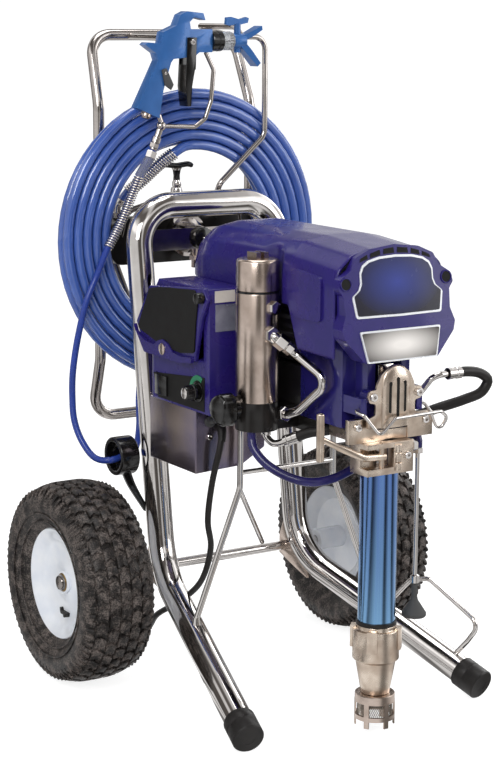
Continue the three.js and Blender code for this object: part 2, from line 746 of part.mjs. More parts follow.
function powerLead() {
  const centre = v(-150, 230, 0);
  const inner = LEAD_COIL_RADIUS - LEAD_PITCH;
  const spread = [[0, 2], [2, 0], [2.25, -0.15], [2.5, -0.09], [3, 0.42], [3.25, 0.75], [3.5, 0.96], [4.5, 2]];
  const rise = [[0, 0], [2, 0], [2.5, 1], [4.5, 1]];
  const floorZ = LEAD_RADIUS + 0.1;
  const turns = winding(inner, LEAD_PITCH, spread, rise, (r, a, z) =>
    v(centre.x + r * Math.cos(a), centre.y + r * Math.sin(a), floorZ + z),
  );
  const start = turns[0];
  const drop = smooth(
    [
      v(-124, BASE_FRONT_Y - 9, 444),
      v(-131, BASE_FRONT_Y - 21, 422),
      v(-140, BASE_FRONT_Y - 10, 356),
      v(-136, -180, 288),
      v(-112, -150, 232),
      v(-104, -108, 165),
      v(-103, -40, 112),
      v(-103, 40, 66),
      v(start.x - 6, 110, 18),
      v(start.x, centre.y - 46, floorZ),
      start,
    ],
    LEAD_RADIUS * 6,
  );
  const points = [v(-124, BASE_FRONT_Y - GAP, 444), ...drop.slice(0, -1), ...turns];
  measureGap("power_lead", points, LEAD_RADIUS);
  add("power_lead", BLACK(), tube(points, LEAD_RADIUS, 6));
}

// ---------------------------------------------------------------- whip hose and fittings
const innerEnd = [
  v(-112, 141, 771),
  v(-103, 137, 784),
  v(-78, 126, 807),
  v(-54, 112, 833),
  v(-34, 101, 850),
  v(-16.3, HOSE_FRONT_Y, 860.7),
  v(0, HOSE_FRONT_Y, 863),
];

function hoseFittings(group) {
  const end = innerEnd[0];
  const way = end.clone().sub(innerEnd[1]).normalize();
  const elbow = end.clone().addScaledVector(way, 14);
  const foot = v(elbow.x, elbow.y, BEAM_TOP_Z + GAP);
  const seat = end.clone().addScaledVector(way, GAP);
  const route = [seat, elbow, foot];
  add("hose_fitting", CHROME(), tube(rounded(route, 9, 2), HOSE_RADIUS - 1, 10), group);
  const guard = innerEnd.slice(1, 5);
  add("coil_spring", CHROME(), spring(guard, HOSE_RADIUS + 2.3, 6, SPRING_WIRE), group);
}

const hung = (point) => point.multiplyScalar(GUN_SCALE).add(v(...GUN_SHIFT));

function whip(group, tailEnd) {
  const swivel = hung(v(-47, GUN_Y, 853));
  const up = v(16, 0, 40).normalize();
  const first = tailEnd.clone().addScaledVector(tailWay, 2 * GAP);
  const route = [
    first,
    first.clone().addScaledVector(tailWay, 12),
    v(-46, 112, 569),
    v(-62, 104, 578),
    v(-79, 94, 586),
    v(-93, 82, 584),
    v(-104, 80, 560),
    v(-111, 79, 500),
    v(-118, 76, 440),
    v(-123, 66, 395),
    v(-143, 44, 362),
    v(-187.6, 8.7, 361),
    v(-212, 8.7, 357),
    v(-227, 30, 359),
    v(-238, 55, 384),
    v(-243, 72, 417),
    v(-241, 82, 457),
    v(-240, 82, 491),
    v(-234, 82, 532),
    v(-225, 81, 574),
    v(-213, 80, 615),
    v(-194, 80, 655),
    v(-178.4, 70, 701.4),
    v(-153, 70, 742.3),
    v(-135.5, 70, 779.1),
    v(-120.8, 67, 815.9),
    swivel.clone().addScaledVector(up, -12),
    swivel.clone().addScaledVector(up, -2 * GAP),
  ];
  const points = hoseRoute(route, WHIP_RADIUS * 7);
  measureGap("whip_hose", points, WHIP_RADIUS);
  add("whip_hose", BLACK(), tube(points, WHIP_RADIUS, 6), group);
  add("whip_spring", CHROME(), spring(route.slice(22, 26), WHIP_RADIUS + 2.7, 8, SPRING_WIRE), group);
}

// ---------------------------------------------------------------- gun
function gun(group) {
  const hang = (name, material, shape, body) => {
    const mesh = add(name, material, shape, body);
    mesh.geometry.scale(GUN_SCALE, GUN_SCALE, GUN_SCALE).translate(...GUN_SHIFT);
  };
  const half = GUN_THICKNESS / 2;
  const back = GUN_Y + half;
  const slabAt = (points, from, depth) => plateXZ(points, from, depth);
  const body = [
    [-83, 925],
    [-42, 1004],
    [-46, 1016],
    [-67, 1030],
    [-62, 1034],
    [-36, 1032],
    [-32, 1051],
    [-6, 1062],
    [2, 1080],
    [15, 1086],
    [47, 1083],
    [51, 1071],
    [29, 1076],
    [20, 1068],
    [22, 1056],
    [65, 1056],
    [65, 1017],
    [39, 1017],
    [30, 1010],
    [-12, 1006],
    [-17, 1000],
    [-32, 954],
    [-40, 907],
  ];
  const pivot = v(TRIGGER_X, 0, TRIGGER_Z);
  const across = (x, z, radius, reach, sides = 12) =>
    rod(v(x, GUN_Y - reach, z), v(x, GUN_Y + reach, z), radius, sides);
  const pivotBore = across(pivot.x, pivot.z, 3 + GAP, half + 5);
  hang("gun_body", GUN_BLUE(), cut(slabAt(body, back, GUN_THICKNESS), pivotBore), group);
  const cheek = [
    [14, 1042],
    [32, 1042],
    [30, 988],
    [12, 988],
  ];
  const blade = [
    [12, 996],
    [30, 996],
    [23, 960],
    [21, 926],
    [14, 926],
    [10, 960],
  ];
  const wide = half + RUNNING_GAP + 2.5;
  const cheeks = cut(
    slabAt(cheek, GUN_Y + wide, 2 * wide),
    box(-50, 90, GUN_Y - half - RUNNING_GAP, GUN_Y + half + RUNNING_GAP, 996, 1100),
  );
  const trigger = join(cheeks, slabAt(blade, GUN_Y + wide, 2 * wide), across(pivot.x, pivot.z, 3, wide));
  hang("gun_trigger", BLACK(), trigger, group);
  const lock = [
    [-37, 988],
    [-28, 991],
    [-14, 963],
    [-19, 954],
    [-31, 962],
  ];
  hang("trigger_lock", BLACK(), slabAt(lock, GUN_Y - half - RUNNING_GAP, 4), group);
  const ball = v(-31, GUN_Y, 893);
  const guard = [
    v(58, GUN_Y, 1016.6),
    v(74, GUN_Y, 987),
    v(69, GUN_Y, 935),
    v(57, GUN_Y, 903),
    v(37, GUN_Y, 890),
    ball,
  ];
  const swivel = v(-47, GUN_Y, 853);
  const fluid = join(
    tube(rounded(guard, 14, 1), 3.2, 6),
    new THREE.SphereGeometry(9, 8, 5).translate(ball.x, ball.y, ball.z),
    rod(swivel, ball, 6.5, 12),
  );
  hang("fluid_tube", CHROME(), cut(fluid, slabAt(body, back + GAP, GUN_THICKNESS + 2 * GAP)), group);
  const barrel = [
    [0, 65.3],
    [BARREL_RADIUS, 65.3],
    [BARREL_RADIUS, 87],
    [15, 88],
    [15, 110],
    [13, 111],
    [13, 136],
    [0, 136],
  ];
  const upperWing = [
    [124, 1044],
    [165, 1060],
    [165, 1053],
    [134, 1038],
  ];
  const lowerWing = [
    [124, 1027],
    [134, 1033],
    [163, 996],
    [156, 993],
  ];
  const tipBore = rod(v(TIP_X, GUN_Y, 990), v(TIP_X, GUN_Y, 1070), TIP_RADIUS + RUNNING_GAP, 12);
  const guardBody = join(
    turnedX(barrel, GUN_Y, BARREL_Z, 14),
    slabAt(upperWing, GUN_Y + 13, 26),
    slabAt(lowerWing, GUN_Y + 13, 26),
  );
  hang("tip_guard", BLUE(), cut(guardBody, tipBore), group);
  const stem = rod(v(TIP_X, GUN_Y, 1016), v(TIP_X, GUN_Y, 1066), TIP_RADIUS, 12);
  const flag = box(97, 144, GUN_Y - 3, GUN_Y + 3, 1063, 1077);
  hang("spray_tip", BLACK(), join(stem, flag), group);
}

// ---------------------------------------------------------------- drive
function tray() {
  const front = -380;
  const plank = box(-60, 60, front, 12, TRAY_Z, TRAY_Z + TRAY_THICKNESS);
  const wing = box(-102, 102, STRUT_Y - 16, STRUT_Y + 11, TRAY_Z, TRAY_Z + 6);
  const inner = HOOP_HALF_WIDTH - TUBE_RADIUS - GAP;
  const rear = box(-inner, inner, 0, 12, TRAY_Z - 15, TRAY_Z + 45);
  add("base_tray", BLACK(), join(plank, wing, rear));
}

const onAxis = (y0, y1, z, radius, sides = 24, x = 0) => rod(v(x, y0, z), v(x, y1, z), radius, sides);

function motor() {
  const teeth = 14;
  const section = [];
  for (let i = 0; i < teeth * 4; i++) {
    const a = (i / (teeth * 4)) * Math.PI * 2;
    const r = i % 4 < 2 ? MOTOR_RADIUS : MOTOR_RADIUS - MOTOR_FIN;
    section.push([Math.cos(a) * r, Math.sin(a) * r + MOTOR_Z]);
  }
  const length = MOTOR_BACK_Y - MOTOR_FRONT_Y;
  const foot = box(-40, 40, -300, -120, TRAY_Z + TRAY_THICKNESS + GAP, MOTOR_Z - MOTOR_RADIUS + 8);
  const bore = onAxis(-400, 0, MOTOR_Z, SHAFT_RADIUS + RUNNING_GAP, 12);
  add("motor", BLACK(), cut(join(plateXZ(section, MOTOR_BACK_Y, length), foot), bore));
  const pinion = onAxis(GEAR_FRONT_Y, GEAR_FRONT_Y + GEAR_THICKNESS, MOTOR_Z, PINION_RADIUS, 12);
  const shaft = onAxis(GEAR_FRONT_Y, MOTOR_BACK_Y + 22, MOTOR_Z, SHAFT_RADIUS, 12);
  const hub = onAxis(MOTOR_BACK_Y + 8, MOTOR_BACK_Y + 22, MOTOR_Z, 14, 12);
  const blades = [0, 1].map((i) =>
    box(-52, 52, MOTOR_BACK_Y + 9, MOTOR_BACK_Y + 19, -3, 3)
      .rotateY((i * Math.PI) / 2)
      .translate(0, 0, MOTOR_Z),
  );
  add("motor_shaft", STEEL(), join(pinion, shaft, hub, ...blades));
}

function gearOutline(radius, teeth, depth) {
  const points = [];
  for (let i = 0; i < teeth * 4; i++) {
    const a = (i / (teeth * 4)) * Math.PI * 2;
    const r = i % 4 < 2 ? radius : radius - depth;
    points.push([Math.cos(a) * r, Math.sin(a) * r]);
  }
  return points;
}

function driveHousing() {
  const back = MOTOR_FRONT_Y - GAP;
  const bottom = HOUSING_BOTTOM_Z;
  const casing = box(-HOUSING_HALF_WIDTH, HOUSING_HALF_WIDTH, HOUSING_FRONT_Y, back, bottom, HOUSING_TOP_Z);
  const nose = box(-NOSE_HALF_WIDTH, NOSE_HALF_WIDTH, NOSE_Y, HOUSING_FRONT_Y + 1, bottom, HOUSING_TOP_Z - 4);
  const bar = box(-BAR_HALF_WIDTH, BAR_HALF_WIDTH, -404, -388, HOUSING_TOP_Z - 6, HOUSING_TOP_Z + 14);
  const lug = (x0, x1) => box(x0, x1, BAIL_Y - 7, HOUSING_FRONT_Y + 1, BAIL_Z - 9, BAIL_Z + 17);
  const gearRoom = box(-48, 48, GEAR_FRONT_Y - 6, GEAR_FRONT_Y + GEAR_THICKNESS + 4, 500, HOUSING_TOP_Z - 5);
  const rodRoom = box(-24, 24, NOSE_Y - 2, GEAR_FRONT_Y, bottom - 1, 603);
  const shaftBore = onAxis(-410, back + 1, MOTOR_Z, SHAFT_RADIUS + RUNNING_GAP, 12);
  const crankBore = onAxis(-410, back + 1, GEAR_Z, CRANK_SHAFT_RADIUS + RUNNING_GAP, 16);
  const bailBore = rod(v(-90, BAIL_Y, BAIL_Z), v(90, BAIL_Y, BAIL_Z), BAIL_WIRE + RUNNING_GAP, 10);
  const shell = join(casing, nose, bar, lug(-60, -50), lug(42, 52));
  add("drive_housing", BLUE(), cut(shell, gearRoom, rodRoom, shaftBore, crankBore, bailBore));
  const gearDisc = plateXZ(
    gearOutline(GEAR_RADIUS, 12, 3).map(([x, z]) => [x, z + GEAR_Z]),
    GEAR_FRONT_Y + GEAR_THICKNESS,
    GEAR_THICKNESS,
  );
  const crankShaft = onAxis(GEAR_FRONT_Y + 2, back - 4, GEAR_Z, CRANK_SHAFT_RADIUS, 16);
  const crankPin = onAxis(GEAR_FRONT_Y - 6, GEAR_FRONT_Y + 2, GEAR_Z + CRANK_THROW, 5, 12);
  add("crank_gear", STEEL(), join(gearDisc, crankShaft, crankPin));
}

function pistonRod() {
  const rodBody = rod(v(0, PUMP_Y, PISTON_Z), v(0, PUMP_Y, 548), PISTON_ROD_RADIUS, 16);
  const piston = rod(v(0, PUMP_Y, PISTON_Z - 10), v(0, PUMP_Y, PISTON_Z + 10), PUMP_BORE - 0.4, 24);
  const yoke = box(-14, 14, PUMP_Y - 12, PUMP_Y + 14, 546, 574);
  add("piston_rod", STEEL(), join(rodBody, piston, yoke));
}

function rodGuard() {
  const centreY = NOSE_Y + 2;
  const outer = rod(v(0, centreY, GUARD_BOTTOM_Z), v(0, centreY, GUARD_TOP_Z), GUARD_RADIUS, 24);
  const inner = rod(v(0, centreY, GUARD_BOTTOM_Z - 5), v(0, centreY, GUARD_TOP_Z - 3), GUARD_RADIUS - 3, 24);
  const rear = box(-60, 60, NOSE_Y - GAP, -380, 400, 700);
  const slots = [-13, 0, 13].map((x) => box(x - 2.5, x + 2.5, -520, -480, 498, 560));
  add("rod_guard", TAN(), cut(outer, inner, rear, ...slots));
}

function bailWire() {
  const end = (x) => v(x, BAIL_Y, BAIL_Z);
  const route = [
    end(-49),
    end(-70),
    v(-62, -496, 508),
    v(-39, -506, 476),
    v(-13, -506, 500),
    v(78, -499, 500),
    v(92, -497, 490),
    v(80, -492, 466),
    v(66, -488, 500),
    end(60),
    end(41),
  ];
  add("bail_wire", CHROME(), tube(rounded(route, 5, 1), BAIL_WIRE, 5));
}

// ---------------------------------------------------------------- shroud and front panel
function shell(inset) {
  const half = SHROUD_HALF_WIDTH - inset;
  const top = SHROUD_TOP_Z - inset;
  const back = SHROUD_BACK_Y - inset;
  const section = mirrored([
    [half, 560],
    [half, top - 52],
    [half - 8, top - 26],
    [half - 30, top - 7],
    [half - 66, top],
  ]);
  const plan = [
    [-half + 12, back],
    [half - 12, back],
    [half, back - 60],
    [half, SHROUD_FRONT_Y],
    [-half, SHROUD_FRONT_Y],
    [-half, back - 60],
  ];
  const side = [
    [back, 500],
    [back, top - 30],
    [back - 14, top - 10],
    [back - 60, top],
    [-350, top],
    [SHROUD_FRONT_Y, top - 10],
    [SHROUD_FRONT_Y, 500],
  ];
  const length = SHROUD_BACK_Y - SHROUD_FRONT_Y;
  const block = common(
    plateXZ(section, SHROUD_BACK_Y, length),
    plateXY(plan, 500, 300),
    plateYZ(side, -half, 2 * half),
  );
  const pocket = FILTER_RADIUS + POCKET_CLEARANCE + inset;
  return cut(block, rod(v(FILTER_X, FILTER_Y, 400), v(FILTER_X, FILTER_Y, 900), pocket, 16));
}

function shroud() {
  const below = [
    [-40, 560],
    [-40, 676],
    [-90, 662],
    [-350, 655],
    [-376, SKIRT_Z + 2],
    [-480, SKIRT_Z],
    [-480, 560],
  ];
  const under = plateYZ(below, -120, 240);
  const open = shell(SHROUD_WALL);
  const mouth = open.translate(0, -SHROUD_WALL - 5, 0);
  add("shroud", BLUE(), cut(shell(0), open, mouth, under));
}

function panelBlock(sink, inset) {
  const grow = (list) => list.map(([x, z]) => [x * (1 - inset / 90), PANEL_MID_Z + (z - PANEL_MID_Z) * (1 - inset / 75)]);
  const outlineHalf = [
    [62, PANEL_BOTTOM_Z],
    [101, 622],
    [103, 632],
    [97, 646],
    [97, 680],
    [104, 692],
    [101, 706],
    [82, 716],
    [72, 737],
    [38, 748],
  ];
  const prism = plateXZ(grow(mirrored(outlineHalf)), SHROUD_FRONT_Y - GAP, 60);
  const slope = [
    [PANEL_BOTTOM_Y + sink, PANEL_BOTTOM_Z - 20],
    [PANEL_TOP_Y + sink, PANEL_TOP_Z + 10],
    [-400, PANEL_TOP_Z + 10],
    [-400, PANEL_BOTTOM_Z - 20],
  ];
  return common(prism, plateYZ(slope, -120, 240));
}

function frontPanel() {
  const slots = [-3, -2, -1, 0, 1, 2, 3].map((i) => {
    const x = i * 16;
    return box(x - 4, x + 4, -520, -460, 714, 735 - Math.abs(i) * 2);
  });
  const ears = [-1, 1].map((side) => onAxis(-520, -460, 699, 7, 8, side * 88));
  const hollow = panelBlock(4, 5).translate(0, 1, 0);
  add("front_panel", BLUE(), cut(panelBlock(0, 0), hollow, ...slots, ...ears));
}

// ---------------------------------------------------------------- pump
function flangePlate() {
  const top = FLANGE_Z + FLANGE_THICKNESS;
  const plate = box(-60, 60, -478, -405, FLANGE_Z, top);
  const ear = (x0, x1) => box(x0, x1, -480, NOSE_Y - RUNNING_GAP, FLANGE_Z, top + 20);
  const bore = rod(v(0, PUMP_Y, 400), v(0, PUMP_Y, 500), PISTON_ROD_RADIUS + 4, 20);
  add("flange_plate", TAN(), cut(join(plate, ear(-77, -30), ear(30, 77)), bore));
}

function clamp() {
  const top = CLAMP_BOTTOM_Z + CLAMP_HEIGHT;
  const ringBody = rod(v(0, PUMP_Y, CLAMP_BOTTOM_Z), v(0, PUMP_Y, top), 41, 18);
  const lug = box(-54, 30, -496, PUMP_Y, CLAMP_BOTTOM_Z, top);
  const boltBoss = rod(v(36, PUMP_Y, 441), v(58, PUMP_Y, 441), 8, 12);
  const bore = rod(v(0, PUMP_Y, 400), v(0, PUMP_Y, 500), PUMP_RADIUS + RUNNING_GAP * 2, 18);
  const window = box(-70, -6, -510, -477, LEVER_Z - 16, LEVER_Z + 14);
  const pinBore = rod(v(LEVER_PIVOT_X, LEVER_PIVOT_Y, 400), v(LEVER_PIVOT_X, LEVER_PIVOT_Y, 470), 4.5, 12);
  add("pump_clamp", STEEL(), cut(join(ringBody, lug, boltBoss), bore, window, pinBore));
  const pivot = rod(v(LEVER_PIVOT_X, LEVER_PIVOT_Y, 416), v(LEVER_PIVOT_X, LEVER_PIVOT_Y, 459), 4, 12);
  const route = [
    v(LEVER_PIVOT_X + 6, LEVER_PIVOT_Y, LEVER_Z),
    v(-56, LEVER_PIVOT_Y, LEVER_Z + 2),
    v(-100, -484, 463),
    v(-128, -480, 478),
  ];
  const bar = rod(v(-128, -480, 445), v(-128, -480, 513), 6, 12);
  add("clamp_lever", STEEL(), join(pivot, tube(rounded(route, 25, 1), 5, 8), bar));
}

function pump() {
  const cylinder = [
    [PUMP_BORE, PUMP_BOTTOM_Z],
    [PUMP_RADIUS, PUMP_BOTTOM_Z],
    [PUMP_RADIUS, PUMP_TOP_Z],
    [PUMP_BORE, PUMP_TOP_Z],
    [PUMP_BORE, PUMP_BOTTOM_Z],
  ];
  add("pump_cylinder", BLUE(), turned(cylinder, 0, PUMP_Y, 24));
  const bottom = STRAINER_TOP_Z + GAP;
  const intake = [
    [8, bottom],
    [22, bottom],
    [31, 112],
    [INTAKE_TOP_RADIUS, 116],
    [INTAKE_TOP_RADIUS, 163],
    [PUMP_RADIUS + 1, 163],
    [PUMP_RADIUS + 1, PUMP_BOTTOM_Z - GAP],
    [8, PUMP_BOTTOM_Z - GAP],
    [8, bottom],
  ];
  add("intake_housing", TAN(), turned(intake, 0, PUMP_Y, 16));
  const cup = [
    [10, STRAINER_TOP_Z - 4],
    [STRAINER_RADIUS - 3, STRAINER_TOP_Z - 4],
    [STRAINER_RADIUS - 3, STRAINER_FOOT_Z],
    [STRAINER_RADIUS, STRAINER_FOOT_Z],
    [STRAINER_RADIUS, STRAINER_TOP_Z],
    [10, STRAINER_TOP_Z],
    [10, STRAINER_TOP_Z - 4],
  ];
  const through = (low, high, offset) =>
    [0, 1, 2].map((i) =>
      box(-50, 50, -9, 9, low, high)
        .rotateZ((i * Math.PI) / 3 + offset)
        .translate(0, PUMP_Y, 0),
    );
  const windows = through(26, 50, 0);
  add("strainer", STEEL(), cut(turned(cup, 0, PUMP_Y, 16), ...windows));
}

// ---------------------------------------------------------------- controls
function controls() {
  const trayClear = box(-60 - GAP, 60, -400, 20, TRAY_Z - GAP, 600);
  const base = cut(
    plateXZ(
      [
        [-165, BASE_BOTTOM_Z],
        [-80, BASE_BOTTOM_Z + 4],
        [-35, BASE_BOTTOM_Z + 30],
        [-35, BOX_BOTTOM_Z - GAP],
        [-165, BOX_BOTTOM_Z - GAP],
      ],
      -45,
      BASE_DEPTH,
    ),
    trayClear,
  );
  add("control_base", BLACK(), base);
  const side = [
    [BOX_BACK_Y, BOX_BOTTOM_Z],
    [BOX_BACK_Y, 640],
    [-84, BOX_TOP_Z],
    [BOX_FRONT_Y + 6, BOX_TOP_Z],
    [BOX_FRONT_Y, BOX_TOP_Z - 8],
    [BOX_FRONT_Y, BOX_BOTTOM_Z],
  ];
  const pocket = box(BOX_FACE_X - 1, BOX_INNER_X - 8, -222, -78, 556, 640);
  const switchBay = box(BOX_FACE_X - 1, BOX_FACE_X + 12, -116, -74, 479, 516);
  const underShroud = box(-104, 0, -600, 0, 650, 800);
  const knobBore = rod(v(-180, KNOB_Y, KNOB_Z), v(-156, KNOB_Y, KNOB_Z), 5, 12);
  const bodyShape = cut(
    plateYZ(side, BOX_FACE_X, BOX_INNER_X - BOX_FACE_X),
    pocket,
    switchBay,
    underShroud,
    knobBore,
  );
  add("control_box", BLUE(), bodyShape);
  const coverOutline = [
    [-26, 593],
    [-69, 656],
    [-235, 671],
    [-247, 654],
    [-229, 624],
    [-209, 553],
    [-169, 546],
    [-58, 547],
  ];
  const coverBack = BOX_FACE_X - GAP;
  add("control_cover", BLACK(), plateYZ(coverOutline, coverBack - COVER_THICKNESS, COVER_THICKNESS));
  const disc = (x0, x1, y, z, radius, sides) => rod(v(x0, y, z), v(x1, y, z), radius, sides);
  add("thumb_knob", BLACK(), disc(-192, coverBack - COVER_THICKNESS - GAP, -234, 656, 9, 16));
  const knob = join(
    disc(-196, coverBack, KNOB_Y, KNOB_Z, KNOB_RADIUS, 20),
    disc(coverBack - 1, -160, KNOB_Y, KNOB_Z, 4.5, 12),
  );
  add("pressure_knob", BLACK(), knob);
  const rocker = box(-174, -164, -113.5, -76.5, 481.5, 513.5);
  const trunnion = rod(v(-166, -116 + GAP, 497.5), v(-166, -74 - GAP, 497.5), 1.5, 6);
  add("power_switch", BLACK(), join(rocker, trunnion));
}

// ---------------------------------------------------------------- filter and prime valve
function filter() {
  const top = BOWL_BOTTOM_Z - GAP;
  const base = rod(v(FILTER_X, FILTER_Y, FILTER_BASE_Z), v(FILTER_X, FILTER_Y, top), FILTER_RADIUS, 18);
  const link = box(FILTER_X, -60 - GAP, -320, -285, FILTER_BASE_Z, FILTER_BASE_Z + 33);
  const boss = rod(v(-157.7, PRIME_Y, PRIME_Z), v(-130, PRIME_Y, PRIME_Z), 9.4, 12);
  const socket = rod(v(-160, PRIME_Y, PRIME_Z), v(-142, PRIME_Y, PRIME_Z), 4.5, 12);
  add("filter_manifold", BLACK(), cut(join(base, link, boss), socket));
  const bowl = [
    [12, BOWL_BOTTOM_Z],
    [FILTER_RADIUS, BOWL_BOTTOM_Z],
    [FILTER_RADIUS, BOWL_TOP_Z],
    [FILTER_RADIUS - 3, BOWL_TOP_Z],
    [FILTER_RADIUS - 3, BOWL_BOTTOM_Z + 5],
    [12, BOWL_BOTTOM_Z + 5],
    [12, BOWL_BOTTOM_Z],
  ];
  add("filter_bowl", STEEL(), turned(bowl, FILTER_X, FILTER_Y, 20));
  const capTop = FILTER_CAP_Z + FILTER_CAP_HEIGHT;
  const cap = [
    [0, BOWL_TOP_Z + GAP],
    [FILTER_RADIUS - 2, BOWL_TOP_Z + GAP],
    [FILTER_RADIUS - 2, FILTER_CAP_Z],
    [FILTER_RADIUS, FILTER_CAP_Z],
    [FILTER_RADIUS, capTop - 3],
    [FILTER_RADIUS - 3, capTop],
    [15, capTop],
    [15, capTop + 10],
    [0, capTop + 10],
  ];
  const slot = box(FILTER_X - 3, FILTER_X + 3, FILTER_Y - 20, FILTER_Y + 20, capTop + 1, capTop + 20);
  add("filter_cap", STEEL(), cut(turned(cap, FILTER_X, FILTER_Y, 20), slot));
  const knob = join(
    rod(v(-190, PRIME_Y, PRIME_Z), v(-158, PRIME_Y, PRIME_Z), 15, 16, 17),
    rod(v(-159, PRIME_Y, PRIME_Z), v(-144, PRIME_Y, PRIME_Z), 4, 12),
  );
  add("prime_knob", BLACK(), knob);
  const bend = [
    v(-122, FILTER_Y - FILTER_RADIUS - GAP, 609),
    v(-122, FILTER_Y - FILTER_RADIUS - 13, 609),
    v(-89, -360, 579),
    v(-76, -427, 547),
    v(-84, -372, 486),
    v(-90, -334, 474),
    v(-90, -320.4, 474),
  ];
  add("steel_pipe", CHROME(), tube(rounded(bend, 14, 1), PIPE_RADIUS, 8));
}

// ---------------------------------------------------------------- lines
function lines() {
  const joint = v(126, -452, 545);
  const outlet = [
    v(-113, -312, FILTER_BASE_Z - GAP),
    v(-113, -312, 449),
    v(-108, -324, 437),
    v(-96, -344, 445),
    v(-76, -374, 461),
    v(-58, -393, 466),
    v(-37, -394, 467),
    v(0, -394, 467),
    v(40, -395, 467),
    v(70, -397, 468),
    v(95, -420, 478),
    v(125, -434, 489),
    v(165, -446, 500),
    v(197, -449, 510),
    v(207, -450, 527),
    v(192, -451, 539),
    v(165, -452, 545),
    joint.clone().add(v(14, 0, 0)),
    joint.clone().add(v(2 * GAP, 0, 0)),
  ];
  add("outlet_hose", BLACK(), tube(hoseRoute(outlet, BLACK_HOSE_RADIUS * 3), BLACK_HOSE_RADIUS, 8));
  const elbow = [
    v(HOUSING_HALF_WIDTH + GAP, -430, 505),
    v(80, -430, 505),
    v(98, -449, 541),
    v(112, -452, 545),
    joint,
  ];
  add("outlet_tube", CHROME(), tube(rounded(elbow, 14, 2), STEEL_TUBE_RADIUS + 1, 8));
  const drainEnd = v(72, PUMP_Y, 437);
  const drain = [
    v(-140, -314, FILTER_BASE_Z - GAP),
    v(-140, -314, 449),
    v(-141, -320, 436),
    v(-132, -340, 414),
    v(-110, -366, 396),
    v(-84, -388, 388),
    v(-50, -399, 391),
    v(-13, -401, 402),
    v(25, -401, 420),
    v(50, -412, 437),
    v(66, -430, 451),
    v(72, PUMP_Y + 3, 453),
    v(72, PUMP_Y, 447),
    drainEnd,
  ];
  add("drain_hose", BLUE(), tube(hoseRoute(drain, DRAIN_HOSE_RADIUS * 3.2), DRAIN_HOSE_RADIUS, 8));
  const down = [
    [0, 169],
    [22, 172],
    [22, 176],
    [5, 199],
    [4.5, 222],
    [7, 223],
    [7, 234],
    [3.5, 236],
    [3.5, 436.4],
    [0, 436.4],
  ];
  add("drain_tube", CHROME(), turned(down, drainEnd.x, PUMP_Y, 12));
}

frameHoop();
footCap(-1, "foot_cap_left");
footCap(1, "foot_cap_right");
axleBracket(-1, "axle_bracket_left");
axleBracket(1, "axle_bracket_right");
axle();
strutFrame();
wheel(-1, "left");
wheel(1, "right");
const reel = new THREE.Group();
reel.name = "hose_reel";
sprayer.add(reel);
reelBracket();
reelLoop(reel);
reelBeam(reel);
reelRod(reel);
reelPin(reel);
hoseGuide();
const tailEnd = hoseCoil(reel);
hoseFittings(reel);
whip(reel, tailEnd);
gun(reel);
tray();
motor();
driveHousing();
pistonRod();
rodGuard();
bailWire();
shroud();
frontPanel();
flangePlate();
clamp();
pump();
controls();
filter();
lines();
powerLead();

// The origin goes to the bottom centre of the sprayer without its mains lead.
const bounds = new THREE.Box3();
sprayer.traverse((o) => {
  if (o.isMesh && o.name !== "power_lead") bounds.expandByObject(o);
});
const centre = bounds.getCenter(v(0, 0, 0));
sprayer.position.set(-centre.x, -centre.y, -bounds.min.z);
console.log("moved by", sprayer.position.toArray().map((n) => n.toFixed(3)).join(" "));

export default sprayer;
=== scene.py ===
"""Looks of an airless paint sprayer on a two-wheel cart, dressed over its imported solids.

Lengths are in millimetres about the middle of the axle line until a piece is finished,
and in metres from then on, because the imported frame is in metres.
"""

from __future__ import annotations

import logging
import math
from dataclasses import dataclass
from enum import Enum
from typing import Any, Callable, Sequence

import bmesh
import bpy
from mathutils import Matrix, Vector

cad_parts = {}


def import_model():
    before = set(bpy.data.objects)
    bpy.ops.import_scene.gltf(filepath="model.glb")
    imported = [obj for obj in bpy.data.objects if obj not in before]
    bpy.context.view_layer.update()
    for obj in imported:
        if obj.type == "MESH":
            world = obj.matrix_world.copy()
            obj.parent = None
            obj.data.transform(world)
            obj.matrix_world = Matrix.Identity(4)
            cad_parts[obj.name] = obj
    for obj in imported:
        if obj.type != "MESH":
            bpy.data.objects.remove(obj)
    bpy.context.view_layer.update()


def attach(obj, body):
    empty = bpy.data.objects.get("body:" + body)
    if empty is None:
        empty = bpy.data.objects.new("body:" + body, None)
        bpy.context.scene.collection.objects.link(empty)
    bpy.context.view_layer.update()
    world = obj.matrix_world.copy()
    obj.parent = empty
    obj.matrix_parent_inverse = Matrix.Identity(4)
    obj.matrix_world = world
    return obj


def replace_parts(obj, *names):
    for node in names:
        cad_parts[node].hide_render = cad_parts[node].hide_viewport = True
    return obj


LOG = logging.getLogger("sprayer")
MM = 0.001
NEAR_ZERO = 1e-6
SIDES = ((-1, "left"), (1, "right"))

# Places that several sub-assemblies share, in millimetres.
SHIFT_Y = 151.907  # from the axle line to the frame's origin
AXLE_Z = 165.0  # the axle line, and the tyres' radius
HUB_Z = 708.0  # the reel's pivot
BEAM_TOP = 740.0  # the cross beam's upper edge
PUMP_Y = -452.0  # the pump cylinder's axis
FILTER_AT = (-122.0, -300.0)  # the filter column's axis in X and Y
HOSE_END = ((-112, 141, 771), (-103, 137, 784))  # the spray hose's inner end, and its next point
OUTLET_JOINT = (126, -452, 545)  # where the outlet hose meets its steel tube
DRAIN_AT = (72.0, -452.0)  # the drain tube's axis in X and Y
GUN_SCALE = 0.96779  # the gun's size where it hangs, as a share of its drawn size
GUN_SHIFT = (-53.88, -87.18, 34.87)  # from where the gun is drawn to where it hangs

IMAGE_HEIGHT = 760.0  # pixels
SENSOR_HEIGHT = 36.0

Colour = tuple[float, float, float]
Point = Sequence[float]
Profile = Sequence[tuple[float, float]]


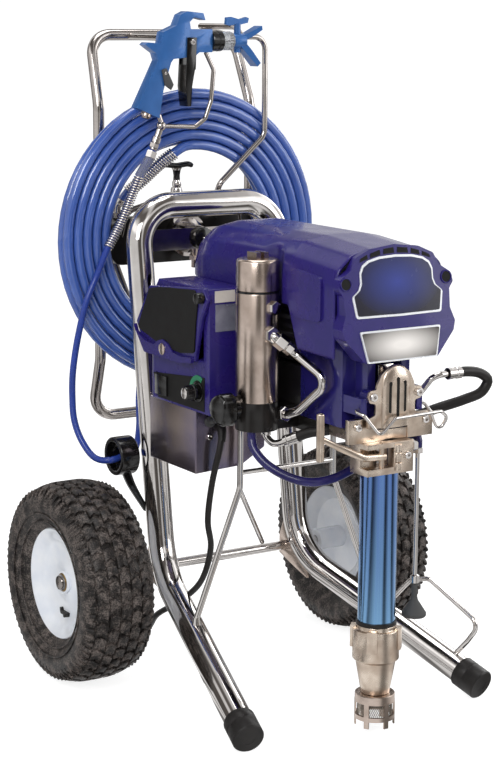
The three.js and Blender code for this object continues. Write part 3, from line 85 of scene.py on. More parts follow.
class Body(str, Enum):
    """The moving bodies that pieces ride on."""

    CART = "cart"
    WHEEL_LEFT = "wheel_left"
    WHEEL_RIGHT = "wheel_right"
    REEL = "reel"
    RELEASE_PIN = "release_pin"
    TRIGGER = "trigger"
    LOCK = "lock"
    TIP = "tip"
    SHAFT = "shaft"
    CRANK = "crank"
    PISTON = "piston"
    BAIL = "bail"
    LEVER = "lever"
    COVER = "cover"
    THUMB = "thumb"
    PRESSURE = "pressure"
    POWER = "power"
    PRIME = "prime"


class Grain(Enum):
    """The fine relief of a surface."""

    SMOOTH = "smooth"
    PEEL = "peel"
    FINE = "fine"
    CAST = "cast"
    HAMMERED = "hammered"
    BRUSHED = "brushed"
    RUBBER = "rubber"


def srgb(code: str) -> Colour:
    """Turn a hex colour into linear values.

    Args:
        code: Six hex digits.

    Returns:
        The linear red, green and blue.
    """
    parts = [int(code[i : i + 2], 16) / 255 for i in (0, 2, 4)]
    low = [p / 12.92 if p <= 0.04045 else ((p + 0.055) / 1.055) ** 2.4 for p in parts]
    return (low[0], low[1], low[2])


def metres(point: Point) -> Vector:
    """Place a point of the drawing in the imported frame.

    Args:
        point: X, Y and Z in millimetres about the axle line.

    Returns:
        The same place in metres about the frame's origin.
    """
    return Vector((point[0], point[1] + SHIFT_Y, point[2])) * MM


# ---------------------------------------------------------------- shader graphs


class Signal:
    """A shader socket that takes part in sums and products."""

    def __init__(self, graph: "Graph", socket: bpy.types.NodeSocket) -> None:
        """Wrap one output socket of a graph."""
        self.graph = graph
        self.socket = socket

    def _maths(self, operation: str, *values: "Signal | float") -> "Signal":
        """Add one Math node over the given values."""
        return self.graph.node("ShaderNodeMath", {"operation": operation}, dict(enumerate(values)))

    def __add__(self, other: "Signal | float") -> "Signal":
        """Add two signals."""
        return self._maths("ADD", self, other)

    __radd__ = __add__

    def __mul__(self, other: "Signal | float") -> "Signal":
        """Multiply two signals."""
        return self._maths("MULTIPLY", self, other)

    __rmul__ = __mul__

    def __sub__(self, other: "Signal | float") -> "Signal":
        """Take a signal from this one."""
        return self._maths("SUBTRACT", self, other)

    def __rsub__(self, other: float) -> "Signal":
        """Take this signal from a number."""
        return self._maths("SUBTRACT", other, self)

    def ramp(self, low: float, high: float) -> "Signal":
        """Stretch a range of this signal to nought and one, clamped."""
        return self.graph.node(
            "ShaderNodeMapRange",
            {"clamp": True},
            {"Value": self, "From Min": low, "From Max": high},
        )

    def pick(self, name: str) -> "Signal":
        """Give another output of the node that made this signal."""
        return Signal(self.graph, self.socket.node.outputs[name])


class Graph:
    """The node tree of one material."""

    def __init__(self, tree: bpy.types.NodeTree) -> None:
        """Start an empty tree."""
        self.tree = tree
        tree.nodes.clear()

    def node(
        self, kind: str, settings: dict[str, Any] | None = None, inputs: dict[Any, Any] | None = None
    ) -> Signal | None:
        """Add one node.

        Args:
            kind: The node's type name.
            settings: Attributes to set first; "stops" fills a colour ramp.
            inputs: Values or signals by socket name or number.

        Returns:
            The node's first enabled output, or None on a node that has no outputs.
        """
        node = self.tree.nodes.new(kind)
        for name, value in (settings or {}).items():
            if name == "stops":
                ramp = node.color_ramp.elements
                while len(ramp) < len(value):
                    ramp.new(0.5)
                for element, (place, colour) in zip(ramp, value):
                    element.position = place
                    element.color = (*colour, 1.0)
            else:
                setattr(node, name, value)
        for name, value in (inputs or {}).items():
            socket = node.inputs[name]
            if isinstance(value, Signal):
                self.tree.links.new(value.socket, socket)
            elif isinstance(value, tuple) and len(value) == 3 and socket.type == "RGBA":
                socket.default_value = (*value, 1.0)
            else:
                socket.default_value = value
        if not node.outputs:
            return None
        return Signal(self, next((o for o in node.outputs if o.enabled), node.outputs[0]))

    def place(self, scale: Point = (1, 1, 1), centre: Point = (0, 0, 0)) -> Signal:
        """Give Object coordinates, centred and stretched."""
        where = self.node("ShaderNodeTexCoord").pick("Object")
        offset = tuple(-c * s for c, s in zip(centre, scale))
        return self.node(
            "ShaderNodeMapping", {}, {"Vector": where, "Location": offset, "Scale": tuple(scale)}
        )

    def noise(self, scale: float, detail: float = 3.0, where: Signal | None = None) -> Signal:
        """Add a noise pattern over Object coordinates."""
        return self.node(
            "ShaderNodeTexNoise",
            {},
            {"Vector": where or self.place(), "Scale": scale, "Detail": detail},
        )

    def mix(self, factor: Signal | float, first: Any, second: Any) -> Signal:
        """Mix two colours."""
        node = self.tree.nodes.new("ShaderNodeMix")
        node.data_type = "RGBA"
        named = {"Factor": factor, "A": first, "B": second}
        for label, value in named.items():
            socket = next(s for s in node.inputs if s.name == label and s.enabled)
            if isinstance(value, Signal):
                self.tree.links.new(value.socket, socket)
            else:
                socket.default_value = (*value, 1.0) if isinstance(value, tuple) else value
        return Signal(self, next(o for o in node.outputs if o.enabled))


@dataclass(frozen=True)
class Finish:
    """A surface finish and how to build it.

    Attributes:
        name: The finish in plain words.
        slot: The record's material slot it belongs to; not used.
        colour: Main linear colour.
        shade: The colour that soft noise mixes in.
        metallic: 1 for bare metal.
        rough: Lowest and highest roughness.
        coat: Weight of a clear coat.
        mottle: Scale of the colour and roughness noise, per metre.
        grain: The fine relief.
        depth: How strong the relief is.
        clear: Transmission of a see-through plastic.
        shine: Specular level of the base layer.
    """

    name: str
    slot: str
    colour: Colour
    shade: Colour | None = None
    metallic: float = 0.0
    rough: tuple[float, float] = (0.3, 0.4)
    coat: float = 0.0
    mottle: float = 35.0
    grain: Grain = Grain.SMOOTH
    depth: float = 0.2
    clear: float = 0.0
    shine: float = 0.3

    def relief(self, graph: Graph) -> tuple[Signal, float] | None:
        """Build the height pattern of the grain.

        Args:
            graph: The material's tree.

        Returns:
            The height and the bump distance in metres, or None on a smooth surface.
        """
        if self.grain is Grain.PEEL:
            return graph.noise(260, 2), 0.0004
        if self.grain is Grain.FINE:
            return graph.noise(1400, 2), 0.0003
        if self.grain is Grain.CAST:
            return graph.noise(700, 4) + graph.noise(180, 2) * 0.6, 0.0006
        if self.grain is Grain.RUBBER:
            return graph.noise(900, 5) + graph.noise(140, 2) * 0.5, 0.0005
        if self.grain is Grain.HAMMERED:
            dents = graph.node(
                "ShaderNodeTexVoronoi",
                {"feature": "SMOOTH_F1"},
                {"Vector": graph.place(), "Scale": 260.0},
            )
            return dents, 0.0005
        if self.grain is Grain.BRUSHED:
            return graph.noise(1.0, 3, graph.place((1500, 1500, 12))), 0.0002
        return None

    def tint(self, graph: Graph, mottle: Signal) -> Signal | None:
        """Build the colour pattern, if the finish has one."""
        if self.shade is None:
            return None
        return graph.mix(mottle.ramp(0.35, 0.7), self.colour, self.shade)

    def material(self) -> bpy.types.Material:
        """Build the material, or give it if it is built already.

        Returns:
            The Blender material of this finish.
        """
        known = bpy.data.materials.get(self.name)
        if known:
            return known
        made = bpy.data.materials.new(self.name)
        made.use_nodes = True
        graph = Graph(made.node_tree)
        mottle = graph.noise(self.mottle, 4)
        low, high = self.rough
        roughness = mottle.ramp(0.3, 0.75) * (high - low) + low
        inputs: dict[str, Any] = {
            "Base Color": self.tint(graph, mottle) or self.colour,
            "Metallic": self.metallic,
            "Roughness": roughness,
            "Coat Weight": self.coat,
            "Coat Roughness": 0.06,
            "Specular IOR Level": 0.5 if self.metallic > 0.5 else self.shine,
            "Transmission Weight": self.clear,
        }
        relief = self.relief(graph)
        if relief:
            height, distance = relief
            inputs["Normal"] = graph.node(
                "ShaderNodeBump",
                {},
                {"Height": height, "Strength": self.depth, "Distance": distance},
            )
        shader = graph.node("ShaderNodeBsdfPrincipled", {}, inputs)
        graph.node("ShaderNodeOutputMaterial", {}, {"Surface": shader})
        return made


@dataclass(frozen=True)
class TubeSheen(Finish):
    """Coloured metal with a painted sheen: its tone drifts along the height and in upright streaks that stand
    in for reflections.
    """

    edge: Colour = (0.0, 0.0, 0.0)
    span: tuple[float, float] = (0.0, 1.0)

    def tint(self, graph: Graph, mottle: Signal) -> Signal:
        """Mix the two tones by height and by noise stretched upright, which paints vertical reflection streaks.
        """
        where = graph.node("ShaderNodeSeparateXYZ", {}, {"Vector": graph.place()}).pick("Z")
        height = where.ramp(*self.span)
        painted_streaks = graph.noise(1.0, 3, graph.place((320, 320, 6)))
        return graph.mix(height * 0.55 + painted_streaks * 0.45, self.colour, self.edge)


@dataclass(frozen=True)
class DustyTread(Finish):
    """Tyre rubber with pale dust mixed in by noise."""

    dust: Colour = (0.1, 0.08, 0.06)

    def tint(self, graph: Graph, mottle: Signal) -> Signal:
        """Mix the dust in by two scales of noise."""
        fine = graph.noise(420, 5)
        return graph.mix((mottle * fine).ramp(0.2, 0.4) * 0.7, self.colour, self.dust)


@dataclass(frozen=True)
class RadialSheen(Finish):
    """A plate with a painted sheen: its tone changes from a lighter middle to a darker edge."""

    edge: Colour = (0.0, 0.0, 0.0)
    middle: float = 0.0
    reach: tuple[float, float] = (0.07, 0.045)
    start: float = 0.2

    def tint(self, graph: Graph, mottle: Signal) -> Signal:
        """Mix the two tones by the distance from the plate's middle."""
        wide, tall = self.reach
        where = graph.place((1 / wide, 0, 1 / tall), (0, 0, self.middle))
        away = graph.node("ShaderNodeVectorMath", {"operation": "LENGTH"}, {"Vector": where}).pick("Value")
        return graph.mix(away.ramp(self.start, 1.15), self.colour, self.edge)


class Finishes:
    """Every finish of the sprayer."""

    CHROME = Finish("bright_chrome", "chrome", (0.70, 0.67, 0.65), (0.62, 0.59, 0.57), 1.0, (0.05, 0.12))
    SHADED_CHROME = Finish("shaded_chrome", "chrome", (0.5, 0.46, 0.44), (0.4, 0.37, 0.35), 1.0, (0.08, 0.16))
    DARK_CHROME = Finish("dark_chrome", "chrome", (0.34, 0.31, 0.29), (0.24, 0.22, 0.21), 1.0, (0.1, 0.2))
    STEEL = Finish(
        "brushed_steel", "steel", srgb("CDBDB2"), srgb("B5A498"), 1.0, (0.18, 0.28), grain=Grain.BRUSHED,
        depth=0.12,
    )
    TAN = Finish(
        "nickel_casting", "tan_casting", srgb("EADBCB"), srgb("BCA998"), 1.0, (0.22, 0.36),
        grain=Grain.CAST, depth=0.16,
    )
    # Painted sheen: lighter low on the cylinder and darker towards its top, with painted vertical reflection
    # streaks.
    PUMP_BLUE = TubeSheen(
        "anodised_blue_painted_sheen",
        "blue_metal",
        srgb("86B6D6"),
        None,
        1.0,
        (0.12, 0.18),
        edge=srgb("5068BC"),
        span=(0.17, 0.46),
    )
    SHROUD = Finish(
        "blue_moulding", "blue_plastic", srgb("2A1E6C"), srgb("241D66"), 0.0, (0.24, 0.34), 0.3,
        grain=Grain.PEEL, depth=0.05,
    )
    HOUSING = Finish(
        "blue_gloss_paint", "blue_paint", srgb("28226A"), srgb("222062"), 0.1, (0.2, 0.3), 0.5,
        grain=Grain.PEEL, depth=0.12,
    )
    GUN = Finish(
        "gun_blue_coat", "gun_blue", srgb("3468AA"), srgb("2C5E9C"), 0.15, (0.26, 0.38), 0.35,
        grain=Grain.PEEL,
    )
    HOSE = Finish(
        "blue_hose_cover", "hose_blue", srgb("4465B4"), srgb("3655A2"), 0.0, (0.12, 0.24), 1.0, mottle=16.0,
        shine=0.5,
    )
    DARK_HOSE = Finish(
        "dark_blue_hose_cover", "hose_dark", srgb("241F5C"), srgb("1E1A4C"), 0.0, (0.2, 0.32), 0.3
    )
    WHIP = Finish("whip_hose_cover", "hose_dark", srgb("2C449C"), srgb("263C8A"), 0.0, (0.22, 0.34), 0.2)
    BLACK_PAINT = Finish(
        "satin_black_paint", "black_paint", srgb("1B1918"), srgb("23201F"), 0.2, (0.26, 0.4), 0.2
    )
    BRONZE = Finish(
        "bronze_sheet", "bronze_paint", srgb("9A8C86"), srgb("5C5A88"), 0.95, (0.2, 0.32), 0.2, 6.0,
        Grain.HAMMERED, 0.12,
    )
    WHITE = Finish("white_rim_paint", "white_paint", srgb("F2F5FA"), srgb("E6EBF4"), 0.0, (0.14, 0.26), 0.5)
    BLACK_PLASTIC = Finish(
        "black_plastic", "black_plastic", srgb("0C0B0A"), srgb("12100F"), 0.0, (0.28, 0.4),
        grain=Grain.FINE, depth=0.2,
    )
    GLOSS_BLACK = Finish("gloss_black", "black_plastic", srgb("100F0F"), None, 0.0, (0.12, 0.2), 0.4)
    MATT_BLACK = Finish(
        "matt_black_plastic", "black_plastic", srgb("0C0B0A"), srgb("131110"), 0.0, (0.55, 0.7),
        grain=Grain.FINE, depth=0.3,
    )
    RUBBER = Finish(
        "black_rubber", "rubber", srgb("221F1E"), srgb("1A1817"), 0.0, (0.36, 0.54), grain=Grain.RUBBER
    )
    TYRE = DustyTread(
        "turf_tyre", "tyre", srgb("1E1B1A"), None, 0.0, (0.4, 0.6), 0.0, 60.0, Grain.RUBBER, 0.35,
        dust=srgb("857A74"),
    )
    BADGE_RIM = Finish("badge_rim", "white_paint", srgb("E4E6EA"), None, 0.3, (0.2, 0.3))
    # Painted sheen: a lighter blue middle fading to dark navy at the edge.
    BADGE_FIELD = RadialSheen(
        "badge_field", "blue_plastic", srgb("27378C"), None, 0.0, (0.2, 0.3), 0.2, edge=srgb("0C0920"),
        middle=0.7, start=0.0,
    )
    # Painted sheen: a bright middle fading to a dark edge on the silver plate.
    BADGE_SILVER = RadialSheen(
        "silver_badge",
        "steel",
        srgb("E8E4E0"),
        None,
        0.5,
        (0.28, 0.38),
        edge=srgb("4A4644"),
        middle=0.609,
        reach=(0.074, 0.027),
        start=0.2,
    )
    WINDOW = Finish("display_window", "steel", srgb("B4B6C8"), srgb("8A8CA4"), 0.6, (0.2, 0.3), mottle=40.0)
    CLEAR = Finish("clear_plastic", "hose_dark", (0.86, 0.88, 0.9), None, 0.0, (0.06, 0.14), clear=0.85)
    GREEN = Finish("green_scale", "black_plastic", srgb("2F8A62"), srgb("2A7A58"), 0.0, (0.35, 0.45))
    BLUE_SCALE = Finish("blue_scale", "black_plastic", srgb("2E529C"), srgb("2A4A90"), 0.0, (0.35, 0.45))
    PALE_LABEL = Finish("pale_label", "white_paint", srgb("D8D2CC"), srgb("C8C0B8"), 0.0, (0.4, 0.5))
    BRASS = Finish("brass_ring", "tan_casting", srgb("A08858"), srgb("88704A"), 1.0, (0.25, 0.4))
    MESH = Finish("strainer_mesh", "steel", srgb("A39A90"), srgb("6C655E"), 1.0, (0.3, 0.45), mottle=600.0)


# ---------------------------------------------------------------- curves


def rounded(corners: Sequence[Point], radius: float | Sequence[float], steps: int = 10) -> list[Vector]:
    """Round the inner corners of a path.

    Args:
        corners: The path's corners.
        radius: One radius, or one for each inner corner.
        steps: Stretches of each arc.

    Returns:
        The path's points.
    """
    nodes = [Vector(c) for c in corners]
    made = [nodes[0].copy()]
    for i in range(1, len(nodes) - 1):
        size = radius if isinstance(radius, (int, float)) else radius[i - 1]
        back, ahead = nodes[i - 1] - nodes[i], nodes[i + 1] - nodes[i]
        half = back.angle(ahead) / 2
        if half > math.pi / 2 - 0.01:
            made.append(nodes[i])
            continue
        reach = min(size / math.tan(half), back.length * 0.49, ahead.length * 0.49)
        start, end = nodes[i] + back.normalized() * reach, nodes[i] + ahead.normalized() * reach
        middle = (back.normalized() + ahead.normalized()).normalized()
        centre = nodes[i] + middle * (reach * math.tan(half) / math.sin(half))
        spoke, last = start - centre, end - centre
        sweep = spoke.angle(last)
        for k in range(steps + 1):
            a = sweep * k / steps
            made.append(centre + (spoke * math.sin(sweep - a) + last * math.sin(a)) / math.sin(sweep))
    made.append(nodes[-1].copy())
    return made


def smooth(points: Sequence[Point], step: float) -> list[Vector]:
    """Sample a centripetal spline through points.

    Args:
        points: The points that the curve passes.
        step: Distance between samples.

    Returns:
        Evenly spaced points, both ends included.
    """
    nodes = [Vector(p) for p in points]
    nodes = [nodes[0] * 2 - nodes[1], *nodes, nodes[-1] * 2 - nodes[-2]]
    fine: list[Vector] = []
    for i in range(1, len(nodes) - 2):
        p = nodes[i - 1 : i + 3]
        t = [0.0]
        for k in range(3):
            t.append(t[-1] + max((p[k + 1] - p[k]).length ** 0.5, 1e-6))
        for k in range(12):
            u = t[1] + (t[2] - t[1]) * k / 12
            a = [
                p[j] * ((t[j + 1] - u) / (t[j + 1] - t[j])) + p[j + 1] * ((u - t[j]) / (t[j + 1] - t[j]))
                for j in range(3)
            ]
            b = [
                a[j] * ((t[j + 2] - u) / (t[j + 2] - t[j])) + a[j + 1] * ((u - t[j]) / (t[j + 2] - t[j]))
                for j in range(2)
            ]
            fine.append(b[0] * ((t[2] - u) / (t[2] - t[1])) + b[1] * ((u - t[1]) / (t[2] - t[1])))
    fine.append(nodes[-2])
    return spaced(fine, step)


def spaced(points: Sequence[Vector], step: float) -> list[Vector]:
    """Place points evenly along a path.

    Args:
        points: The path.
        step: About how far apart the new points are.

    Returns:
        The new points, both ends included.
    """
    along = [0.0]
    for a, b in zip(points, points[1:]):
        along.append(along[-1] + (b - a).length)
    count = max(2, round(along[-1] / step))
    made, i = [], 0
    for k in range(count + 1):
        want = along[-1] * k / count
        while i < len(points) - 2 and along[i + 1] < want:
            i += 1
        share = (want - along[i]) / max(along[i + 1] - along[i], 1e-9)
        made.append(points[i].lerp(points[i + 1], min(max(share, 0.0), 1.0)))
    return made


def hung(point: Vector) -> Vector:
    """Carry a point of the gun from where it is drawn to where it hangs, nearer the camera."""
    return point * GUN_SCALE + Vector(GUN_SHIFT)


def hose_route(points: Sequence[Point], step: float) -> list[Vector]:
    """Sample a route whose first and last stretches stay straight."""
    middle = smooth(points[1:-1], step)
    return [Vector(points[0]), *middle, Vector(points[-1])]


def around(count: int) -> list[float]:
    """Give evenly spaced angles round a circle."""
    return [k / count * math.tau for k in range(count)]


def both_halves(half: Profile) -> list[tuple[float, float]]:
    """Add the mirrored left half to the right half of an outline."""
    return [*half, *[(-a, b) for a, b in reversed(half) if a > 0]]


def length_of(points: Sequence[Vector]) -> float:
    """Measure a path."""
    return sum((b - a).length for a, b in zip(points, points[1:]))


def between(pairs: Profile, t: float) -> float:
    """Read straight stretches through (t, value) pairs."""
    i = next((k for k, pair in enumerate(pairs) if pair[0] >= t), len(pairs) - 1)
    i = max(1, i)
    (t0, a), (t1, b) = pairs[i - 1], pairs[i]
    return a + (b - a) * (t - t0) / (t1 - t0)


def helix(route: Sequence[Vector], radius: float, curls: float, steps: int = 18) -> list[Vector]:
    """Wind a wire round a route.

    Args:
        route: The centre line.
        radius: Distance of the wire from the line.
        curls: Number of turns.
        steps: Points in one turn.

    Returns:
        The wire's points.
    """
    count = int(curls * steps)
    line = spaced(list(route), length_of(route) / count)
    made = []
    for i, point in enumerate(line):
        way = (line[min(i + 1, len(line) - 1)] - line[max(i - 1, 0)]).normalized()
        side = Vector((0, 1, 0)).cross(way).normalized()
        up = way.cross(side)
        a = i / steps * math.tau
        made.append(point + side * (math.cos(a) * radius) + up * (math.sin(a) * radius))
    return made


# ---------------------------------------------------------------- forms


class Form:
    """A mesh under construction, in millimetres about the axle line."""

    def __init__(self) -> None:
        """Start an empty mesh."""
        self.mesh = bmesh.new()

    def skin(self, rings: Sequence[Sequence[Vector]], looped: bool = False, caps: bool = True) -> "Form":
        """Join rings of points into a tube-like skin.

        Args:
            rings: Rings with the same number of points each.
            looped: Whether the last ring joins the first.
            caps: Whether the two ends are closed.

        Returns:
            This form.
        """
        rows = [[self.mesh.verts.new(p) for p in ring] for ring in rings]
        pairs = list(zip(rows, rows[1:])) + ([(rows[-1], rows[0])] if looped else [])
        for a, b in pairs:
            for i in range(len(a)):
                j = (i + 1) % len(a)
                self.mesh.faces.new((a[i], a[j], b[j], b[i]))
        if caps and not looped:
            self.mesh.faces.new(rows[0][::-1])
            self.mesh.faces.new(rows[-1])
        return self

    def tube(
        self,
        points: Sequence[Point],
        radius: float | Callable[[float], float],
        sides: int = 20,
        looped: bool = False,
        flat: float = 1.0,
        across: Point = (0, 0, 1),
    ) -> "Form":
        """Sweep a round or oval section along points.

        Args:
            points: The centre line.
            radius: Radius, or a function of the share of the way along.
            sides: Points round the section.
            looped: Whether the line closes on itself.
            flat: Second half-width as a share of the first.
            across: Direction that the first half-width starts from.

        Returns:
            This form.
        """
        line = [Vector(p) for p in points]
        last = len(line) - 1
        side = Vector(across)
        rings = []
        for i, point in enumerate(line):
            before = line[i - 1] if i or looped else line[0]
            after = line[(i + 1) % len(line)] if i < last or looped else line[last]
            way = (after - before).normalized()
            side = side - way * side.dot(way)
            if side.length < NEAR_ZERO:
                side = way.orthogonal()
            side.normalize()
            up = way.cross(side)
            size = radius(i / last) if callable(radius) else radius
            rings.append(
                [
                    point + side * (math.cos(a) * size) + up * (math.sin(a) * size * flat)
                    for a in around(sides)
                ]
            )
        return self.skin(rings, looped)

    def rod(
        self, start: Point, end: Point, radius: float, sides: int = 24, tip: float | None = None
    ) -> "Form":
        """Add a straight rod, tapered to `tip` if given."""
        last = radius if tip is None else tip
        return self.tube([start, end], lambda t: radius + (last - radius) * t, sides)

    def lathe(self, profile: Profile, centre: Point, axis: Point = (0, 0, 1), sides: int = 64) -> "Form":
        """Turn a profile about an axis.

        Args:
            profile: Pairs of radius and distance along the axis. It closes on itself unless it
                starts or ends on the axis.
            centre: The axis' foot.
            axis: The axis' direction.
            sides: Points round the body.

        Returns:
            This form.
        """
        way = Vector(axis).normalized()
        side = Vector((0, 0, 1)) if abs(way.z) < 0.9 else Vector((1, 0, 0))
        side = (side - way * side.dot(way)).normalized()
        up = way.cross(side)
        foot = Vector(centre)
        rings = [
            [foot + way * d + side * (math.cos(a) * r) + up * (math.sin(a) * r) for a in around(sides)]
            for r, d in profile
            if r >= NEAR_ZERO
        ]
        capped = min(profile[0][0], profile[-1][0]) < NEAR_ZERO
        return self.skin(rings, looped=not capped, caps=capped)

    def prism(self, outline: Sequence[tuple[float, float]], plane: str, start: float, depth: float) -> "Form":
        """Push an outline out of its plane.

        Args:
            outline: Corners in the plane.
            plane: "XZ", "YZ" or "XY".
            start: Where the prism starts on the third axis.
            depth: How deep it is.

        Returns:
            This form.
        """
        place = {
            "XZ": lambda a, b, c: Vector((a, c, b)),
            "YZ": lambda a, b, c: Vector((c, a, b)),
            "XY": lambda a, b, c: Vector((a, b, c)),
        }[plane]
        return self.skin([[place(a, b, c) for a, b in outline] for c in (start, start + depth)])

    def block(self, low: Point, high: Point) -> "Form":
        """Add a box between two corners."""
        corners = [(low[0], low[1]), (high[0], low[1]), (high[0], high[1]), (low[0], high[1])]
        return self.prism(corners, "XY", low[2], high[2] - low[2])

    def nut(self, centre: Point, axis: Point, across: float, height: float) -> "Form":
        """Add a hexagon along an axis, `across` over its corners."""
        corner, ease = across / 2, across * 0.04
        side = [(corner - ease, 0), (corner, ease), (corner, height - ease), (corner - ease, height)]
        return self.lathe([(0, 0), *side, (0, height)], centre, axis, 6)

    def bevel(self, width: float, segments: int = 3, angle: float = 28.0) -> "Form":
        """Round the edges that turn by more than an angle.

        Args:
            width: Width of the rounding.
            segments: Faces across it.
            angle: Least turn in degrees.

        Returns:
            This form.
        """
        limit = math.radians(angle)
        edges = [e for e in self.mesh.edges if e.is_manifold and e.calc_face_angle(0.0) > limit]
        bmesh.ops.bevel(
            self.mesh,
            geom=edges,
            offset=width,
            segments=segments,
            profile=0.5,
            affect="EDGES",
            clamp_overlap=True,
        )
        return self

    def repeat(self, count: int, turn: Point, shift: Point, pivot: Point) -> "Form":
        """Repeat what is drawn so far with the repeater's node tree.

        Args:
            count: Number of copies.
            turn: Turn of one step, in degrees about X, Y and Z.
            shift: Move of one step.
            pivot: The point that copies turn about.

        Returns:
            This form, holding every copy.
        """
        self.mesh = Repeater().run(self.mesh, count, turn, shift, pivot)
        return self

    def place(self, change: Callable[[Vector], Point]) -> "Form":
        """Move every point by a rule."""
        for vert in self.mesh.verts:
            vert.co = Vector(change(vert.co.copy()))
        return self

    def piece(self, name: str, body: Body, finish: Finish, crease: float = 35.0) -> bpy.types.Object:
        """Finish the mesh as an object that rides on a body.

        Args:
            name: The piece's name.
            body: The body that carries it.
            finish: Its surface.
            crease: Edges that turn by more than this stay sharp, degrees.

        Returns:
            The finished object.
        """
        bmesh.ops.recalc_face_normals(self.mesh, faces=self.mesh.faces)
        for vert in self.mesh.verts:
            vert.co = metres(vert.co)
        return settle(self.mesh, name, body, finish, crease)


def settle(mesh: bmesh.types.BMesh, name: str, body: Body, finish: Finish, crease: float) -> bpy.types.Object:
    """Turn a mesh in metres into an object that rides on a body.

    Args:
        mesh: The finished mesh, which is freed.
        name: The object's name.
        body: The body that carries it.
        finish: Its surface.
        crease: Edges that turn by more than this stay sharp, degrees.

    Returns:
        The object.
    """
    data = bpy.data.meshes.new(name)
    mesh.to_mesh(data)
    mesh.free()
    data.materials.append(finish.material())
    for polygon in data.polygons:
        polygon.use_smooth = True
    data.set_sharp_from_angle(angle=math.radians(crease))
    made = bpy.data.objects.new(name, data)
    bpy.context.scene.collection.objects.link(made)
    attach(made, body.value)
    LOG.info("%s rides on %s", name, body.value)
    return made


class Repeater:
    """A Geometry Nodes tree that repeats a form in even turns and moves."""

    NAME = "repeat_in_steps"
    SIZES = (
        ("Count", "NodeSocketInt"), ("Turn", "NodeSocketVector"), ("Shift", "NodeSocketVector"),
        ("Pivot", "NodeSocketVector"), ("Finish", "NodeSocketMaterial"),
    )

    def tree(self) -> bpy.types.GeometryNodeTree:
        """Build the tree, or give it if it is built already.

        Returns:
            The node tree.
        """
        known = bpy.data.node_groups.get(self.NAME)
        if known:
            return known
        tree = bpy.data.node_groups.new(self.NAME, "GeometryNodeTree")
        tree.interface.new_socket("Geometry", in_out="INPUT", socket_type="NodeSocketGeometry")
        for name, kind in self.SIZES:
            tree.interface.new_socket(name, in_out="INPUT", socket_type=kind)
        tree.interface.new_socket("Geometry", in_out="OUTPUT", socket_type="NodeSocketGeometry")
        nodes, links = tree.nodes, tree.links
        source = nodes.new("NodeGroupInput")
        index = nodes.new("GeometryNodeInputIndex")

        def stepped(name: str) -> bpy.types.NodeSocket:
            """Scale one vector input by the copy's number."""
            scale = nodes.new("ShaderNodeVectorMath")
            scale.operation = "SCALE"
            links.new(source.outputs[name], scale.inputs[0])
            links.new(index.outputs[0], scale.inputs["Scale"])
            return scale.outputs[0]

        points = nodes.new("GeometryNodePoints")
        links.new(source.outputs["Count"], points.inputs["Count"])
        add = nodes.new("ShaderNodeVectorMath")
        links.new(stepped("Shift"), add.inputs[0])
        links.new(source.outputs["Pivot"], add.inputs[1])
        move = nodes.new("GeometryNodeSetPosition")
        links.new(points.outputs[0], move.inputs["Geometry"])
        links.new(add.outputs[0], move.inputs["Position"])
        turn = nodes.new("FunctionNodeEulerToRotation")
        links.new(stepped("Turn"), turn.inputs[0])
        copies = nodes.new("GeometryNodeInstanceOnPoints")
        links.new(move.outputs[0], copies.inputs["Points"])
        links.new(source.outputs["Geometry"], copies.inputs["Instance"])
        links.new(turn.outputs[0], copies.inputs["Rotation"])
        real = nodes.new("GeometryNodeRealizeInstances")
        links.new(copies.outputs[0], real.inputs[0])
        paint = nodes.new("GeometryNodeSetMaterial")
        links.new(real.outputs[0], paint.inputs["Geometry"])
        links.new(source.outputs["Finish"], paint.inputs["Material"])
        out = nodes.new("NodeGroupOutput")
        links.new(paint.outputs[0], out.inputs[0])
        return tree

    def run(
        self, mesh: bmesh.types.BMesh, count: int, turn: Point, shift: Point, pivot: Point
    ) -> bmesh.types.BMesh:
        """Repeat a mesh.

        Args:
            mesh: The mesh to repeat, which is freed.
            count: Number of copies.
            turn: Turn of one step in degrees.
            shift: Move of one step.
            pivot: The point that copies turn about.

        Returns:
            A new mesh with every copy.
        """
        for vert in mesh.verts:
            vert.co -= Vector(pivot)
        data = bpy.data.meshes.new("repeat_source")
        mesh.to_mesh(data)
        mesh.free()
        holder = bpy.data.objects.new("repeat_source", data)
        bpy.context.scene.collection.objects.link(holder)
        tree = self.tree()
        modifier = holder.modifiers.new("repeat", "NODES")
        modifier.node_group = tree
        values = {
            "Count": count,
            "Turn": [math.radians(a) for a in turn],
            "Shift": list(shift),
            "Pivot": list(pivot),
            "Finish": Finishes.BLACK_PLASTIC.material(),
        }
        for item in tree.interface.items_tree:
            if item.in_out == "INPUT" and item.name in values:
                modifier[item.identifier] = values[item.name]
        result = bpy.data.meshes.new_from_object(holder.evaluated_get(bpy.context.evaluated_depsgraph_get()))
        made = bmesh.new()
        made.from_mesh(result)
        bpy.data.objects.remove(holder)
        bpy.data.meshes.remove(data)
        bpy.data.meshes.remove(result)
        return made


def dress(
    node: str, body: Body, finish: Finish, width: float = 1.0, segments: int = 2, crease: float = 32.0
) -> bpy.types.Object:
    """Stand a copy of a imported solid, with eased edges, for the solid.

    Args:
        node: The solid's name.
        body: The body that carries it.
        finish: Its surface.
        width: Width of the eased edges in millimetres.
        segments: Faces across an eased edge.
        crease: Edges that turn by more than this stay sharp, degrees.

    Returns:
        The copy.
    """
    form = Form()
    form.mesh.from_mesh(bpy.data.objects[node].data)
    mesh = form.mesh
    bmesh.ops.remove_doubles(mesh, verts=mesh.verts, dist=1e-5)
    bmesh.ops.dissolve_limit(
        mesh,
        angle_limit=math.radians(1.0),
        use_dissolve_boundaries=False,
        verts=mesh.verts,
        edges=mesh.edges,
    )
    form.bevel(width * MM, segments)
    made = settle(mesh, f"{node}_dressed", body, finish, crease)
    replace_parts(made, node)
    return made


